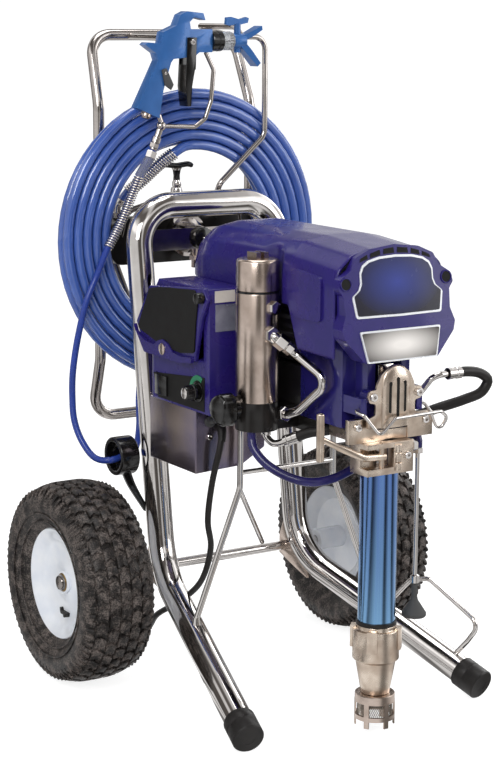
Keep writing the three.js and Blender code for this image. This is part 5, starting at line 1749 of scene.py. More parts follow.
@dataclass
class Reel:
    """The loop that the hose is wound on, with its beam, rod and pin."""

    half: float = 150.0
    top_z: float = 1046.0
    tube: float = 9.5
    pin_y: float = 150.0

    def loop(self) -> None:
        """Bend the closed loop and fix the gun's stub on it."""
        corners = [
            (0, 184, 392), (self.half, 184, 392), (self.half, 152, 500), (self.half, 152, 930),
            (self.half - 8, 195, self.top_z), (8 - self.half, 195, self.top_z), (-self.half, 152, 930),
            (-self.half, 152, 500), (-self.half, 184, 392), (0, 184, 392),
        ]
        line = rounded(corners, [45, 60, 60, 40, 40, 60, 60, 45], 10)
        form = Form().tube(line[:-1], self.tube, 24, looped=True)
        form.rod((-68.4, 69, 1043.3), (-68.4, 195, 1043.3), 6, 20)
        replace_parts(form.piece("reel_hoop", Body.REEL, Finishes.SHADED_CHROME, 50), "reel_loop")

    def beam(self) -> None:
        """Weld the cross beam, its collar and braces."""
        half, top, bottom = 140.2, BEAM_TOP, 662.0
        outline = rounded_profile([(half, top), (-half, top), (-half, bottom), (half, bottom)], 20, True, 6)
        plate = Form().prism(outline, "XZ", 128, 36).bevel(2.5, 3, 50)
        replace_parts(plate.piece("cross_beam", Body.REEL, Finishes.BLACK_PAINT, 40), "reel_beam")
        braces = Form()
        for side in (-1, 1):
            braces.rod((side * (half - 16), self.pin_y, bottom + 8), (0, 184, 398), 6, 20)
            arch = [
                (side * 122, 134, 700), (side * 112, 128, 752), (side * 40, 132, 770), (side * 6, 146, 764)
            ]
            braces.tube(rounded(arch, 24, 6), 5, 16)
        braces.piece("beam_braces", Body.REEL, Finishes.DARK_CHROME, 50)
        collar = [
            (0, 739), (10.7, 739), (10.7, 760), (9, 761), (9, 766), (10.7, 767), (10.7, 784), (9.5, 787),
            (5.6, 787), (5.6, 770), (0, 770),
        ]
        Form().lathe(collar, (0, self.pin_y, 0), (0, 0, 1), 40).piece(
            "pin_collar", Body.REEL, Finishes.CHROME, 30
        )

    def rod(self) -> None:
        """Bend the front rod that keeps the hose on."""
        over = self.top_z + self.tube + 5 + 0.3
        corners = [
            (78, 201, over), (80, 90, over), (92, 84, 1044), (137, 84, 1044), (137, 84, 877), (47, 84, 797),
            (45, 96, 772), (45, 145, 762), (45, 145, BEAM_TOP + 0.3),
        ]
        form = Form().tube(rounded(corners, [10, 10, 22, 26, 16, 10, 10], 8), 5, 20)
        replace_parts(form.piece("front_rod", Body.REEL, Finishes.SHADED_CHROME, 50), "reel_rod")

    def pin(self) -> None:
        """Shape the release pin with its T-handle."""
        stem = [
            (0, 720.5), (5, 720.5), (5, 787.4), (7, 787.4), (8, 789), (8, 796), (6, 800), (5.2, 806),
            (6.4, 815), (9.5, 821), (0, 821),
        ]
        form = Form().lathe(stem, (0, self.pin_y, 0), (0, 0, 1), 32)
        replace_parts(form.piece("release_pin_stem", Body.RELEASE_PIN, Finishes.CHROME, 40), "reel_pin")
        crest = ((-31, 824), (-23, 826.5), (-10, 825.5), (0, 824.5), (10, 825.5), (23, 826.5), (31, 824))
        bar = smooth([(x, self.pin_y, z) for x, z in crest], 2)
        grip = Form().tube(bar, lambda t: 4.9 - abs(2 * t - 1) ** 10, 20)
        grip.lathe(
            [(0, 800), (6, 800), (5.6, 808), (7, 816), (10, 823), (0, 823)], (0, self.pin_y, 0), (0, 0, 1),
            32,
        )
        grip.piece("release_handle", Body.RELEASE_PIN, Finishes.GLOSS_BLACK, 50)

    def fitting(self) -> None:
        """Fit the elbow between the beam and the hose."""
        end, before = (Vector(p) for p in HOSE_END)
        way = (end - before).normalized()
        elbow = end + way * 14
        foot = (elbow.x, elbow.y, BEAM_TOP + 0.3)
        line = rounded([end + way * 0.3, elbow, foot], 9, 6)
        form = Form().tube(line, 6, 24).nut(end + way * 0.3, way, 19, 9).nut(foot, (0, 0, 1), 19, 9)
        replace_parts(form.piece("hose_elbow", Body.REEL, Finishes.CHROME), "hose_fitting")

    def build(self) -> None:
        """Build the reel."""
        self.loop()
        self.beam()
        self.rod()
        self.pin()
        self.fitting()
        LOG.info("reel: loop, beam, rod, pin, elbow")


# ---------------------------------------------------------------- gun


@dataclass
class Gun:
    """The spray gun that hangs on the reel's loop."""

    y: float = 150.0
    barrel_z: float = 1036.0
    tip_x: float = 122.0

    def body(self) -> None:
        """Cast the gun's body and its trigger parts."""
        dress("gun_body", Body.REEL, Finishes.GUN, 4.2, 4, 40)
        dress("gun_trigger", Body.TRIGGER, Finishes.GLOSS_BLACK, 2.2, 3)
        dress("trigger_lock", Body.LOCK, Finishes.BLACK_PLASTIC, 1.0)
        screw("trigger_pivot", Body.TRIGGER, hung(Vector((23, self.y - 14, 1034))), (0, -1, 0), 4.6)
        screw("lock_pivot", Body.LOCK, hung(Vector((-31, self.y - 15.5, 982))), (0, -1, 0), 2.6)
        cap = Form().lathe(
            [(0, -4), (9, -4), (9.5, 3), (6, 7), (0, 8)], (-60, self.y, 913), (-0.38, 0, -0.92), 24
        )
        cap.place(hung).piece("grip_end", Body.REEL, Finishes.STEEL)

    def guard(self) -> None:
        """Bend the trigger guard tube and join it to the swivel."""
        y = self.y
        line = [(58, y, 1016.6), (74, y, 987), (69, y, 935), (57, y, 903), (37, y, 890), (-31, y, 893)]
        form = Form().tube(rounded(line, [14, 20, 16, 14], 6), 4.0, 18)
        ball = [(0, -9), (4.5, -7.8), (7.8, -4.5), (9, 0), (7.8, 4.5), (4.5, 7.8), (0, 9)]
        form.lathe(ball, (-31, y, 893), (0, 0, 1), 32)
        foot = Vector((-47, y, 853))
        up = (Vector((-31, y, 893)) - foot).normalized()
        swivel = [(0, 0), (5.6, 0), (6.5, 1), (6.5, 12), (8, 13), (8, 22), (6, 23), (6, 36), (0, 36)]
        form.lathe(swivel, foot, up, 32).nut(foot + up * 3, up, 17, 8)
        form.rod((-31, y, 899), (-36, y, 912), 5, 20)
        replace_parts(form.place(hung).piece("guard_tube", Body.REEL, Finishes.SHADED_CHROME, 40), "fluid_tube")

    def tip(self) -> None:
        """Build the collar, nut, winged guard and turning tip."""
        axis, foot = (1, 0, 0), (0, self.y, self.barrel_z)
        collar = [
            (0, 65.3), (17, 65.3), (18, 66.5), (18, 74), (16.6, 75), (16.6, 78), (18, 79), (18, 86),
            (17, 87), (0, 87),
        ]
        Form().lathe(collar, foot, axis, 40).place(hung).piece(
            "diffuser_collar", Body.REEL, Finishes.GLOSS_BLACK, 30
        )
        nut = [(0, 87.3), (14.5, 87.3), (15, 88), (15, 109), (14, 110), (0, 110)]
        form = Form().lathe(nut, foot, axis, 40)
        flute = Form().rod((89, self.y, self.barrel_z + 14.6), (108, self.y, self.barrel_z + 14.6), 1.5, 8)
        flute.repeat(18, (20, 0, 0), (0, 0, 0), foot)
        form.place(hung).piece("clear_nut", Body.REEL, Finishes.CLEAR, 30)
        flute.place(hung).piece("nut_flutes", Body.REEL, Finishes.CLEAR, 50)
        barrel = rounded_profile([(0, 110.2), (13, 110.2), (13, 136), (0, 136)], 2.5)
        guard = Form().lathe(barrel, foot, axis, 36)
        for outline in (
            [(124, 1044), (140, 1050), (165, 1062), (166, 1055), (150, 1045), (132, 1036)],
            [(124, 1027), (134, 1033), (146, 1020), (163, 998), (157, 992), (136, 1014)],
        ):
            wing = Form().prism(outline, "XZ", self.y - 13, 26).bevel(2.0)
            widen = lambda p: 0.7 + 0.3 * max(0.0, (p.x - 128) / 38)
            wing.place(lambda p: (p.x, self.y + (p.y - self.y) * widen(p), p.z))
            guard.mesh.from_mesh(self.baked(wing))
        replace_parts(guard.place(hung).piece("winged_guard", Body.REEL, Finishes.GUN, 40), "tip_guard")
        stem = Form().rod((self.tip_x, self.y, 1016), (self.tip_x, self.y, 1066), 6, 28)
        flag = [
            (97, 1064), (104, 1062), (118, 1064), (128, 1064), (142, 1067), (144, 1075), (138, 1077),
            (124, 1073), (108, 1077), (98, 1076),
        ]
        stem.prism(flag, "XZ", self.y - 3, 6)
        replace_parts(stem.place(hung).piece("turning_tip", Body.TIP, Finishes.GUN), "spray_tip")

    def baked(self, form: Form) -> bpy.types.Mesh:
        """Turn a form into a mesh that another form can take in."""
        data = bpy.data.meshes.new("part")
        form.mesh.to_mesh(data)
        return data

    def build(self) -> None:
        """Build the gun."""
        self.body()
        self.guard()
        self.tip()
        LOG.info("gun: body, trigger, guard, tip")


# ---------------------------------------------------------------- drive and shroud


@dataclass
class Drive:
    """Motor, casing, crank, rod guard and bail."""

    bail_y: float = -479.0
    bail_z: float = 513.0

    def bail(self) -> None:
        """Bend the wire bail."""
        y, z = self.bail_y, self.bail_z
        corners = [
            (-49, y, z), (-70, y, z), (-62, -496, 508), (-39, -506, 476), (-13, -506, 500), (78, -499, 500),
            (92, -497, 490), (80, -492, 466), (66, -488, 500), (60, y, z), (41, y, z),
        ]
        form = Form().tube(rounded(corners, 8, 6), 2.6, 16)
        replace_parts(form.piece("wire_bail", Body.BAIL, Finishes.CHROME, 60), "bail_wire")

    def guard(self) -> None:
        """Press the domed rod guard and lay three black shapes on it: painted shade in its three slot openings.
        """
        rings = []
        arc = [math.radians(180 * k / 24) for k in range(25)]
        for z in (484, 486, 500, 515, 530, 545, 552, 559, 565, 570, 574, 576.5, 577.5):
            share = math.sqrt(max(0.0, 1 - (max(0.0, z - 545) / 33) ** 2))
            wide, deep = 25.5 * share + 0.3, 7.4 * share + 1.0
            rings.append([Vector((wide * math.cos(a), -487 - deep * math.sin(a) ** 0.7, z)) for a in arc])
        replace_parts(Form().skin(rings).piece("guard_dome", Body.CART, Finishes.TAN, 50), "rod_guard")
        # Painted shade: matt black shapes on the dome stand in for the shade inside the slot openings.
        slot_shades = Form()
        for x, low, high in ((-13, 506, 553), (0, 500, 559), (13, 506, 553)):
            reach = 8.4 * math.sqrt(1 - (x / 25.8) ** 2) ** 0.7
            shape = rounded_profile(
                [(x - 2.6, low), (x + 2.6, low), (x + 2.6, high), (x - 2.6, high)], 2.4, True
            )
            slot_shades.prism(shape, "XZ", -487.2 - reach, 4)
        slot_shades.piece("guard_slot_shade", Body.CART, Finishes.MATT_BLACK, 40)

    def build(self) -> None:
        """Build the drive."""
        dress("motor", Body.CART, Finishes.BLACK_PAINT, 1.0)
        dress("motor_shaft", Body.SHAFT, Finishes.STEEL, 0.6)
        dress("drive_housing", Body.CART, Finishes.HOUSING, 2.4, 3)
        dress("crank_gear", Body.CRANK, Finishes.STEEL, 0.5)
        dress("piston_rod", Body.PISTON, Finishes.CHROME, 0.8)
        self.guard()
        self.bail()
        half = [
            (0, 576), (14, 573), (26, 564), (33, 550), (35, 542), (47, 541), (51, 532), (47, 523),
            (36, 521), (36, 504), (50, 499), (50, 484), (0, 484),
        ]
        plate = Form().prism(rounded_profile(both_halves(half), 4, True), "XZ", -489, 4).bevel(0.8, 2, 50)
        plate.piece("guard_flange", Body.CART, Finishes.TAN)
        for side, tag in SIDES:
            screw(f"guard_screw_{tag}", Body.CART, (side * 42, -489, 532), (0, -1, 0), 6.4)
            boss = Form().rod((side * 42, -470, 532), (side * 42, -485.5, 532), 10, 28)
            boss.piece(f"guard_boss_{tag}", Body.CART, Finishes.HOUSING)
        LOG.info("drive: motor, casing, crank, guard, bail")


@dataclass
class Shroud:
    """The blue cover over the motor and its front panel with bare badges."""

    half: float = 100.0
    back: float = -62.0
    front: float = -470.0
    top: float = 757.0
    filter_at: tuple[float, float] = FILTER_AT
    pocket: float = 37.0
    section_points: int = 120
    wall: float = 3.0

    def skirt(self, y: float) -> float:
        """Give the height of the lower edge at a Y."""
        line = [(40, 676), (-40, 676), (-90, 662), (-350, 655), (-376, 592), (-480, 590)]
        for (y0, a), (y1, b) in zip(line, line[1:]):
            if y1 <= y <= y0:
                return a + (b - a) * (y0 - y) / (y0 - y1)
        return line[0][1] if y > 0 else line[-1][1]

    def section(self, y: float) -> list[Vector]:
        """Draw the cover's section at a Y, from the left skirt over the top to the right one."""
        behind = max(0.0, (y + 122) / 60)
        ease = 1 - math.sqrt(max(0.0, 1 - min(1.0, behind) ** 2))
        half = self.half - 12 * ease
        crown = self.top - 30 * ease - 10 * max(0.0, (-350 - y) / 120)
        low = self.skirt(y)
        corners = [
            (half, low), (half, crown - 52), (half - 8, crown - 26), (half - 30, crown - 7),
            (half - 66, crown),
        ]
        flat = [Vector((-x, 0, z)) for x, z in corners] + [Vector((x, 0, z)) for x, z in reversed(corners)]
        line = spaced(rounded(flat, [26, 18, 18, 34, 34, 18, 18, 26], 5), 4.0)
        x0, y0 = self.filter_at
        near = self.pocket**2 - (y - y0) ** 2
        wall = x0 + math.sqrt(near) if near > 0 else -1000.0
        blend = 6.0
        made = []
        for p in spaced(line, length_of(line) / self.section_points):
            x = p.x
            if x < wall + blend:
                x = wall + blend * math.exp((x - wall - blend) / blend) if x > wall - 60 else wall
                x = max(x, p.x)
            made.append(Vector((x, y, p.z)))
        return made

    def cover(self) -> None:
        """Mould the cover as one thin shell."""
        stations = 110
        rows = [
            self.section(self.front + (self.back - self.front) * i / stations) for i in range(stations + 1)
        ]
        last, low = rows[-1], self.skirt(self.back)
        for share in (0.06, 0.2, 0.5, 1.0):
            narrow, bulge, left = 1 - 0.04 * share, 2.2 * math.sin(share * 1.5), 1 - share
            rows.append([Vector((p.x * narrow, self.back + bulge, low + (p.z - low) * left)) for p in last])
        mesh = bmesh.new()
        grid = [[mesh.verts.new(p) for p in row] for row in rows]
        for a, b in zip(grid, grid[1:]):
            for i in range(len(a) - 1):
                mesh.faces.new((a[i], a[i + 1], b[i + 1], b[i]))
        bmesh.ops.recalc_face_normals(mesh, faces=mesh.faces)
        if sum(f.normal.z for f in mesh.faces if f.calc_center_median().z > self.top - 12) < 0:
            bmesh.ops.reverse_faces(mesh, faces=mesh.faces)
        for vert in mesh.verts:
            vert.co = metres(vert.co)
        piece = settle(mesh, "motor_cover", Body.CART, Finishes.SHROUD, 40)
        thick = piece.modifiers.new("wall", "SOLIDIFY")
        thick.thickness = self.wall * MM
        thick.offset = -1.0
        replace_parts(piece, "shroud")
        self.step()

    def step(self) -> None:
        """Add the moulded step on each side of the cover."""
        outline = [(-440, 640), (-372, 640), (-352, 668), (-352, 702), (-372, 712), (-440, 706)]
        for side, tag in SIDES:
            form = Form().prism(rounded_profile(outline, 9, True), "YZ", side * 99.5 - 4, 8).bevel(3.0, 4, 50)
            form.piece(f"cover_step_{tag}", Body.CART, Finishes.SHROUD, 40)

    def slope(self, z: float, lift: float = 0.0) -> float:
        """Give the front panel's Y at a height, `lift` in front of it."""
        return -506 + (z - 566) * 30 / 196 - lift

    def plate(
        self, name: str, outline: Sequence[tuple[float, float]], lift: float, finish: Finish,
        ease: float = 1.0,
    ) -> None:
        """Lay a thin plate on the sloping panel.

        Args:
            name: The plate's name.
            outline: Its corners in X and Z.
            lift: How far its face stands off the panel.
            finish: Its surface.
            ease: Width of the eased edge.
        """
        form = Form().prism(outline, "XZ", -1.0, 1.0)
        form.place(lambda p: (p.x, self.slope(p.z, lift if p.y < -0.5 else -1.0), p.z))
        form.bevel(ease, 3, 50).piece(name, Body.CART, finish, 35)

    def mirrored(
        self, half: Sequence[tuple[float, float]], radius: float, inset: float = 0.0
    ) -> list[tuple[float, float]]:
        """Mirror a half outline in X, shrink it and round its corners.

        Args:
            half: Corners from the top middle down the right side.
            radius: Radius of the corners.
            inset: How far the outline is drawn in.

        Returns:
            The whole outline.
        """
        whole = both_halves(half)
        high, low = max(b for _, b in whole), min(b for _, b in whole)
        middle, tall = (high + low) / 2, (high - low) / 2
        wide = max(a for a, _ in whole)
        drawn = [(a * (1 - inset / wide), middle + (b - middle) * (1 - inset / tall)) for a, b in whole]
        return rounded_profile(drawn, radius, True)

    def panel(self) -> None:
        """Mould the front panel, lay black plates of painted shade for its vents, and lay its two bare plates
        on it.
        """
        half = [
            (0, 754), (44, 749), (70, 738), (80, 720), (100, 708), (104, 694), (96, 684), (95, 656),
            (103, 636), (99, 622), (66, 586), (0, 586),
        ]
        form = Form().prism(self.mirrored(half, 5), "XZ", -500, 30)
        form.place(lambda p: (p.x, self.slope(p.z) if p.y < -480 else p.y, p.z))
        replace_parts(form.bevel(3.4, 4, 50).piece("nose_panel", Body.CART, Finishes.SHROUD, 40), "front_panel")
        upper = [
            (0, 739), (30, 737.5), (50, 733), (61, 726), (66, 716), (66, 701), (70, 691), (82, 682),
            (77, 651), (0, 650),
        ]
        self.plate("badge_rim", self.mirrored(upper, 4), 1.6, Finishes.BADGE_RIM, 0.8)
        self.plate("badge_field", self.mirrored(upper, 3, 3.4), 2.3, Finishes.BADGE_FIELD, 0.5)
        lower = [(73, 632), (63, 586)]
        self.plate("name_plate_rim", self.mirrored(lower, 2), 2.6, Finishes.BADGE_RIM, 0.8)
        self.plate("name_plate", self.mirrored(lower, 2, 2.6), 3.3, Finishes.BADGE_SILVER, 0.5)
        # Painted shade: thin matt black plates stand in for the shade inside the vent openings.
        vents = ((-64, -49), (-45, -26), (-21, -1), (4, 24), (29, 45), (49, 64))
        for number, (start, end) in enumerate(vents, 1):
            slot = [
                (start, 741.5 - 0.0026 * start**2), (end, 741.5 - 0.0026 * end**2),
                (end - 1, 749.5 - 0.0034 * end**2), (start + 1, 749.5 - 0.0034 * start**2),
            ]
            self.plate(f"vent_shade_{number}", slot, 0.5, Finishes.MATT_BLACK, 0.2)
        for side, tag in SIDES:
            seat = (side * 91, self.slope(701), 701)
            rim = [(8.2, -0.4), (10.2, -0.4), (10.2, 1.6), (9.4, 2.2), (8.2, 1.4)]
            Form().lathe(rim, seat, (0, -1, 0.153), 32).piece(f"lug_rim_{tag}", Body.CART, Finishes.SHROUD)
            # Painted shade: a matt black plug fills each lug's well where shade falls in the hole.
            well_shade = [(0, 0.8), (8.2, 0.8), (8.2, -4), (0, -4)]
            Form().lathe(well_shade, seat, (0, -1, 0.153), 32).piece(
                f"lug_well_shade_{tag}", Body.CART, Finishes.MATT_BLACK
            )

    def build(self) -> None:
        """Build the cover and its panel."""
        self.cover()
        self.panel()
        LOG.info("shroud: cover, panel, plates")


# ---------------------------------------------------------------- pump


@dataclass
class Pump:
    """Flange, clamp, lever, cylinder, intake and strainer."""

    y: float = PUMP_Y
    radius: float = 29.0
    bore: float = 22.0
    bottom: float = 170.0
    top: float = 459.0

    def cylinder(self) -> None:
        """Turn the blue cylinder and its black seal ring."""
        foot = (0, self.y, 0)
        profile = [
            (self.bore, self.bottom), (self.radius - 0.8, self.bottom), (self.radius, self.bottom + 1),
            (self.radius, self.top - 1), (self.radius - 0.8, self.top), (self.bore, self.top),
        ]
        form = Form().lathe(profile, foot, (0, 0, 1), 80)
        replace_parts(form.piece("blue_cylinder", Body.CART, Finishes.PUMP_BLUE, 30), "pump_cylinder")
        seal = [
            (self.radius + 0.2, 169.8), (self.radius + 2.2, 170), (self.radius + 2.2, 176),
            (self.radius + 0.2, 176.3),
        ]
        Form().lathe(seal, foot, (0, 0, 1), 64).piece("cylinder_seal", Body.CART, Finishes.RUBBER, 30)

    def intake(self) -> None:
        """Cast the intake housing with its lugs, and the strainer under it."""
        foot = (0, self.y, 0)
        profile = rounded_profile(
            [(8, 60.3), (22, 60.3), (31, 112), (36, 116), (36, 163), (30, 163), (30, 169.7), (8, 169.7)],
            1.4,
            True,
            3,
        )
        form = Form().lathe(profile, foot, (0, 0, 1), 72)
        lug = Form().block((-8, self.y - 39, 132), (8, self.y - 30, 166)).bevel(1.6)
        lug.repeat(4, (0, 0, 90), (0, 0, 0), (0, self.y, 0))
        eighth = 0.7071  # the sine and cosine of 45 degrees
        turned = lambda x, y, z: (x * eighth + y * eighth, self.y - x * eighth + y * eighth, z)
        lug.place(lambda p: turned(p.x, p.y - self.y, p.z))
        lug.piece("intake_lugs", Body.CART, Finishes.TAN, 35)
        form.nut((0, self.y, 117), (0, 0, 1), 66, 10)
        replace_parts(form.piece("intake_casting", Body.CART, Finishes.TAN, 32), "intake_housing")
        self.strainer()

    def strainer(self) -> None:
        """Press the strainer's cage and its mesh."""
        foot = (0, self.y, 0)
        top = [(10, 52), (28, 52), (28, 47), (31, 47), (31, 59), (30, 60), (10, 60)]
        form = Form().lathe(top, foot, (0, 0, 1), 64)
        form.lathe([(28, 20), (31, 20), (31, 27), (28, 27)], foot, (0, 0, 1), 64)
        bar = Form().block(
            (-4, self.y - 31, 9), (4, self.y - 28.4, 50)
        ).repeat(6, (0, 0, 60), (0, 0, 0), foot)
        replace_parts(form.piece("strainer_rings", Body.CART, Finishes.STEEL, 32), "strainer")
        bar.piece("strainer_bars", Body.CART, Finishes.STEEL)
        wires, r = Form(), 26.6
        for a in around(56):
            for lean in (0.5, -0.5):
                turns = [(a + t * lean, 22 + 28 * t) for t in (0, 0.25, 0.5, 0.75, 1)]
                wires.tube([(r * math.cos(b), self.y + r * math.sin(b), z) for b, z in turns], 0.5, 4)
        wires.piece("strainer_wires", Body.CART, Finishes.MESH, 60)

    def lever(self) -> None:
        """Forge the T-lever of the clamp."""
        x, y, z = -24.0, -490.0, 440.0
        form = Form().rod((x, y, 416), (x, y, 459), 4, 24)
        line = rounded([(x + 6, y, z), (-56, y, z + 2), (-100, -484, 463), (-128, -480, 478)], 25, 8)
        form.tube(line, lambda t: 6 - 1.4 * t, 16, flat=0.8)
        form.rod((-128, -480, 445), (-128, -480, 513), 6, 24)
        for end, way in ((445, -1), (513, 1)):
            form.lathe([(0, 0), (6, 0), (5.4, 1.2), (4, 1.8), (0, 1.9)], (-128, -480, end), (0, 0, way), 24)
        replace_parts(form.piece("t_lever", Body.LEVER, Finishes.TAN, 40), "clamp_lever")

    def build(self) -> None:
        """Build the pump."""
        dress("flange_plate", Body.CART, Finishes.TAN, 3.5, 3)
        dress("pump_clamp", Body.CART, Finishes.TAN, 2.0, 3)
        self.lever()
        self.cylinder()
        self.intake()
        bolt = Form().nut((58, self.y, 441), (1, 0, 0), 20, 9).rod(
            (64, self.y, 441), (76, self.y, 441), 4, 20
        )
        bolt.piece("clamp_bolt", Body.CART, Finishes.CHROME)
        hinge = Form()
        for low, high, r in ((418, 430, 7.0), (430.6, 445, 6.0), (445.6, 458, 7.0)):
            profile = rounded_profile([(0, low), (r, low), (r, high), (0, high)], 1.2)
            hinge.lathe(profile, (2, -494, 0), (0, 0, 1), 32)
        hinge.piece("clamp_hinge", Body.CART, Finishes.TAN, 35)
        # Painted shade: a dark chrome block stands in for the shaded steel seen through the clamp's window.
        window_shade = Form().block((-30, -480.4, 424.4), (-6.2, -478.5, 453.6)).bevel(0.4)
        window_shade.piece("clamp_window_shade", Body.CART, Finishes.DARK_CHROME)
        screw("clamp_screw", Body.CART, (18, -496.2, 440), (0, -1, 0), 5.5)
        for side, tag in SIDES:
            screw(f"flange_screw_{tag}", Body.CART, (side * 62, -480, 487), (0, -1, 0), 6)
        LOG.info("pump: flange, clamp, lever, cylinder, intake, strainer")


# ---------------------------------------------------------------- controls


@dataclass
class Controls:
    """The control module on the cart's left."""

    face: float = -170.0
    knob: tuple[float, float] = (-207.0, 505.0)

    def label(
        self, name: str, outline: Sequence[tuple[float, float]], finish: Finish, lift: float = 0.5
    ) -> None:
        """Lay a thin plate on the module's outer face.

        Args:
            name: The plate's name.
            outline: Corners in Y and Z.
            finish: Its surface.
            lift: How far it stands off the face.
        """
        Form().prism(
            outline, "YZ", self.face - lift, lift + 0.3
        ).bevel(0.15, 1, 50).piece(name, Body.CART, finish)

    def arc(self, name: str, start: float, end: float, inner: float, outer: float, finish: Finish) -> None:
        """Lay a curved scale round the pressure knob.

        Args:
            name: The scale's name.
            start: First angle in degrees.
            end: Last angle in degrees.
            inner: Inner radius.
            outer: Outer radius.
            finish: Its surface.
        """
        angles = [math.radians(start + (end - start) * k / 20) for k in range(21)]
        y, z = self.knob
        rim = [(y + math.cos(a) * outer, z + math.sin(a) * outer) for a in angles]
        rim += [(y + math.cos(a) * inner, z + math.sin(a) * inner) for a in reversed(angles)]
        Form().prism(rim, "YZ", self.face - 1.2, 1.0).piece(name, Body.CART, finish)

    def panel(self) -> None:
        """Lay the control panel and its scales."""
        self.label(
            "control_panel", [(-67, 514), (-226, 530), (-226, 476), (-83, 476)], Finishes.MATT_BLACK, 0.7
        )
        self.arc("green_scale", 5, 120, 18, 26, Finishes.GREEN)
        self.arc("blue_scale", -45, 3, 18, 25, Finishes.BLUE_SCALE)
        window = Form().block((-160, -241.2, 603), (-121, -239.8, 645)).bevel(0.5)
        window.piece("display_frame", Body.CART, Finishes.WINDOW)
        tag = Form().block((-161, -241, 648), (-125, -239.8, 666)).bevel(0.4)
        tag.piece("bare_label", Body.CART, Finishes.PALE_LABEL)
        ring = [(11, 0), (16, 0), (16, 1.6), (14, 2.4), (11, 2.4)]
        Form().lathe(
            ring, (self.face - 0.6, *self.knob), (-1, 0, 0), 40
        ).piece("knob_ring", Body.CART, Finishes.GLOSS_BLACK)

    def cover_face(self) -> None:
        """Lay the cover's black face, its blue ledge and its slotted screw."""
        x = self.face - 9.2
        black = [
            (-35, 584), (-73, 652), (-100, 657), (-131, 660), (-214, 666), (-222, 645), (-217, 618),
            (-212, 568), (-170, 562), (-110, 566),
        ]
        form = Form().prism(rounded_profile(black, 5, True), "YZ", x - 2.6, 3).bevel(1.0, 2, 50)
        form.piece("cover_face", Body.COVER, Finishes.MATT_BLACK)
        ledge = [
            (-27, 590), (-33, 578), (-62, 566), (-92, 564), (-104, 572), (-118, 576), (-134, 572),
            (-150, 560), (-176, 557), (-209, 560), (-207, 551), (-169, 546.5), (-60, 547.5), (-28, 584),
        ]
        form = Form().prism(rounded_profile(ledge, 4, True), "YZ", x - 5, 6).bevel(1.6, 3, 50)
        form.piece("cover_ledge", Body.COVER, Finishes.SHROUD)
        disc = [(0, 0), (9.2, 0), (9.2, 1.4), (8.2, 2.0), (0, 2.0)]
        Form().lathe(
            disc, (x - 5, -119, 560.5), (-1, 0, 0), 36
        ).piece("cover_screw", Body.COVER, Finishes.STEEL)
        # Painted shade: a gloss black strip on the screw's face stands in for the shade in its slot.
        slot = Form().block((x - 7.3, -120, 554.5), (x - 6.6, -118, 566.5))
        slot.piece("cover_screw_slot_shade", Body.COVER, Finishes.GLOSS_BLACK)

    def pressure_knob(self) -> None:
        """Mould the pressure knob with flutes and a bright cap."""
        y, z = self.knob
        profile = [
            (0, 0.3), (4.5, 0.3), (4.5, 8), (13, 8.5), (13, 12), (11.5, 13), (10.5, 24), (9.5, 26), (0, 26)
        ]
        form = Form().lathe(profile, (self.face, y, z), (-1, 0, 0), 48)
        ribs = Form().rod((self.face - 13, y, z + 10.8), (self.face - 24, y, z + 10.0), 1.3, 8)
        ribs.repeat(16, (22.5, 0, 0), (0, 0, 0), (self.face, y, z))
        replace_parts(form.piece("pressure_dial", Body.PRESSURE, Finishes.GLOSS_BLACK, 30), "pressure_knob")
        ribs.piece("pressure_ribs", Body.PRESSURE, Finishes.GLOSS_BLACK, 50)
        cap = Form().lathe(
            [(0, 25.5), (8.6, 25.5), (8.6, 26.4), (7, 27), (0, 27)], (self.face, y, z), (-1, 0, 0), 32
        )
        cap.piece("pressure_cap", Body.PRESSURE, Finishes.CHROME)

    def build(self) -> None:
        """Build the control module."""
        dress("control_base", Body.CART, Finishes.BRONZE, 2.0, 3)
        dress("control_box", Body.CART, Finishes.SHROUD, 3.0, 3)
        dress("control_cover", Body.COVER, Finishes.SHROUD, 2.6, 3)
        self.cover_face()
        dress("thumb_knob", Body.THUMB, Finishes.GLOSS_BLACK, 1.6, 3)
        dress("power_switch", Body.POWER, Finishes.GLOSS_BLACK, 1.2, 2)
        self.panel()
        self.pressure_knob()
        toggle = Form().rod((-140, -190.2, 452), (-140, -196, 452), 9, 28)
        toggle.rod((-140, -196, 452), (-140, -206, 455), 4, 20, 3)
        toggle.piece("small_switch", Body.CART, Finishes.BLACK_PLASTIC)
        screw("base_screw", Body.CART, (-140, -190.3, 427), (0, -1, 0), 5)
        LOG.info("controls: base, module, cover, panel, knobs")


# ---------------------------------------------------------------- filter


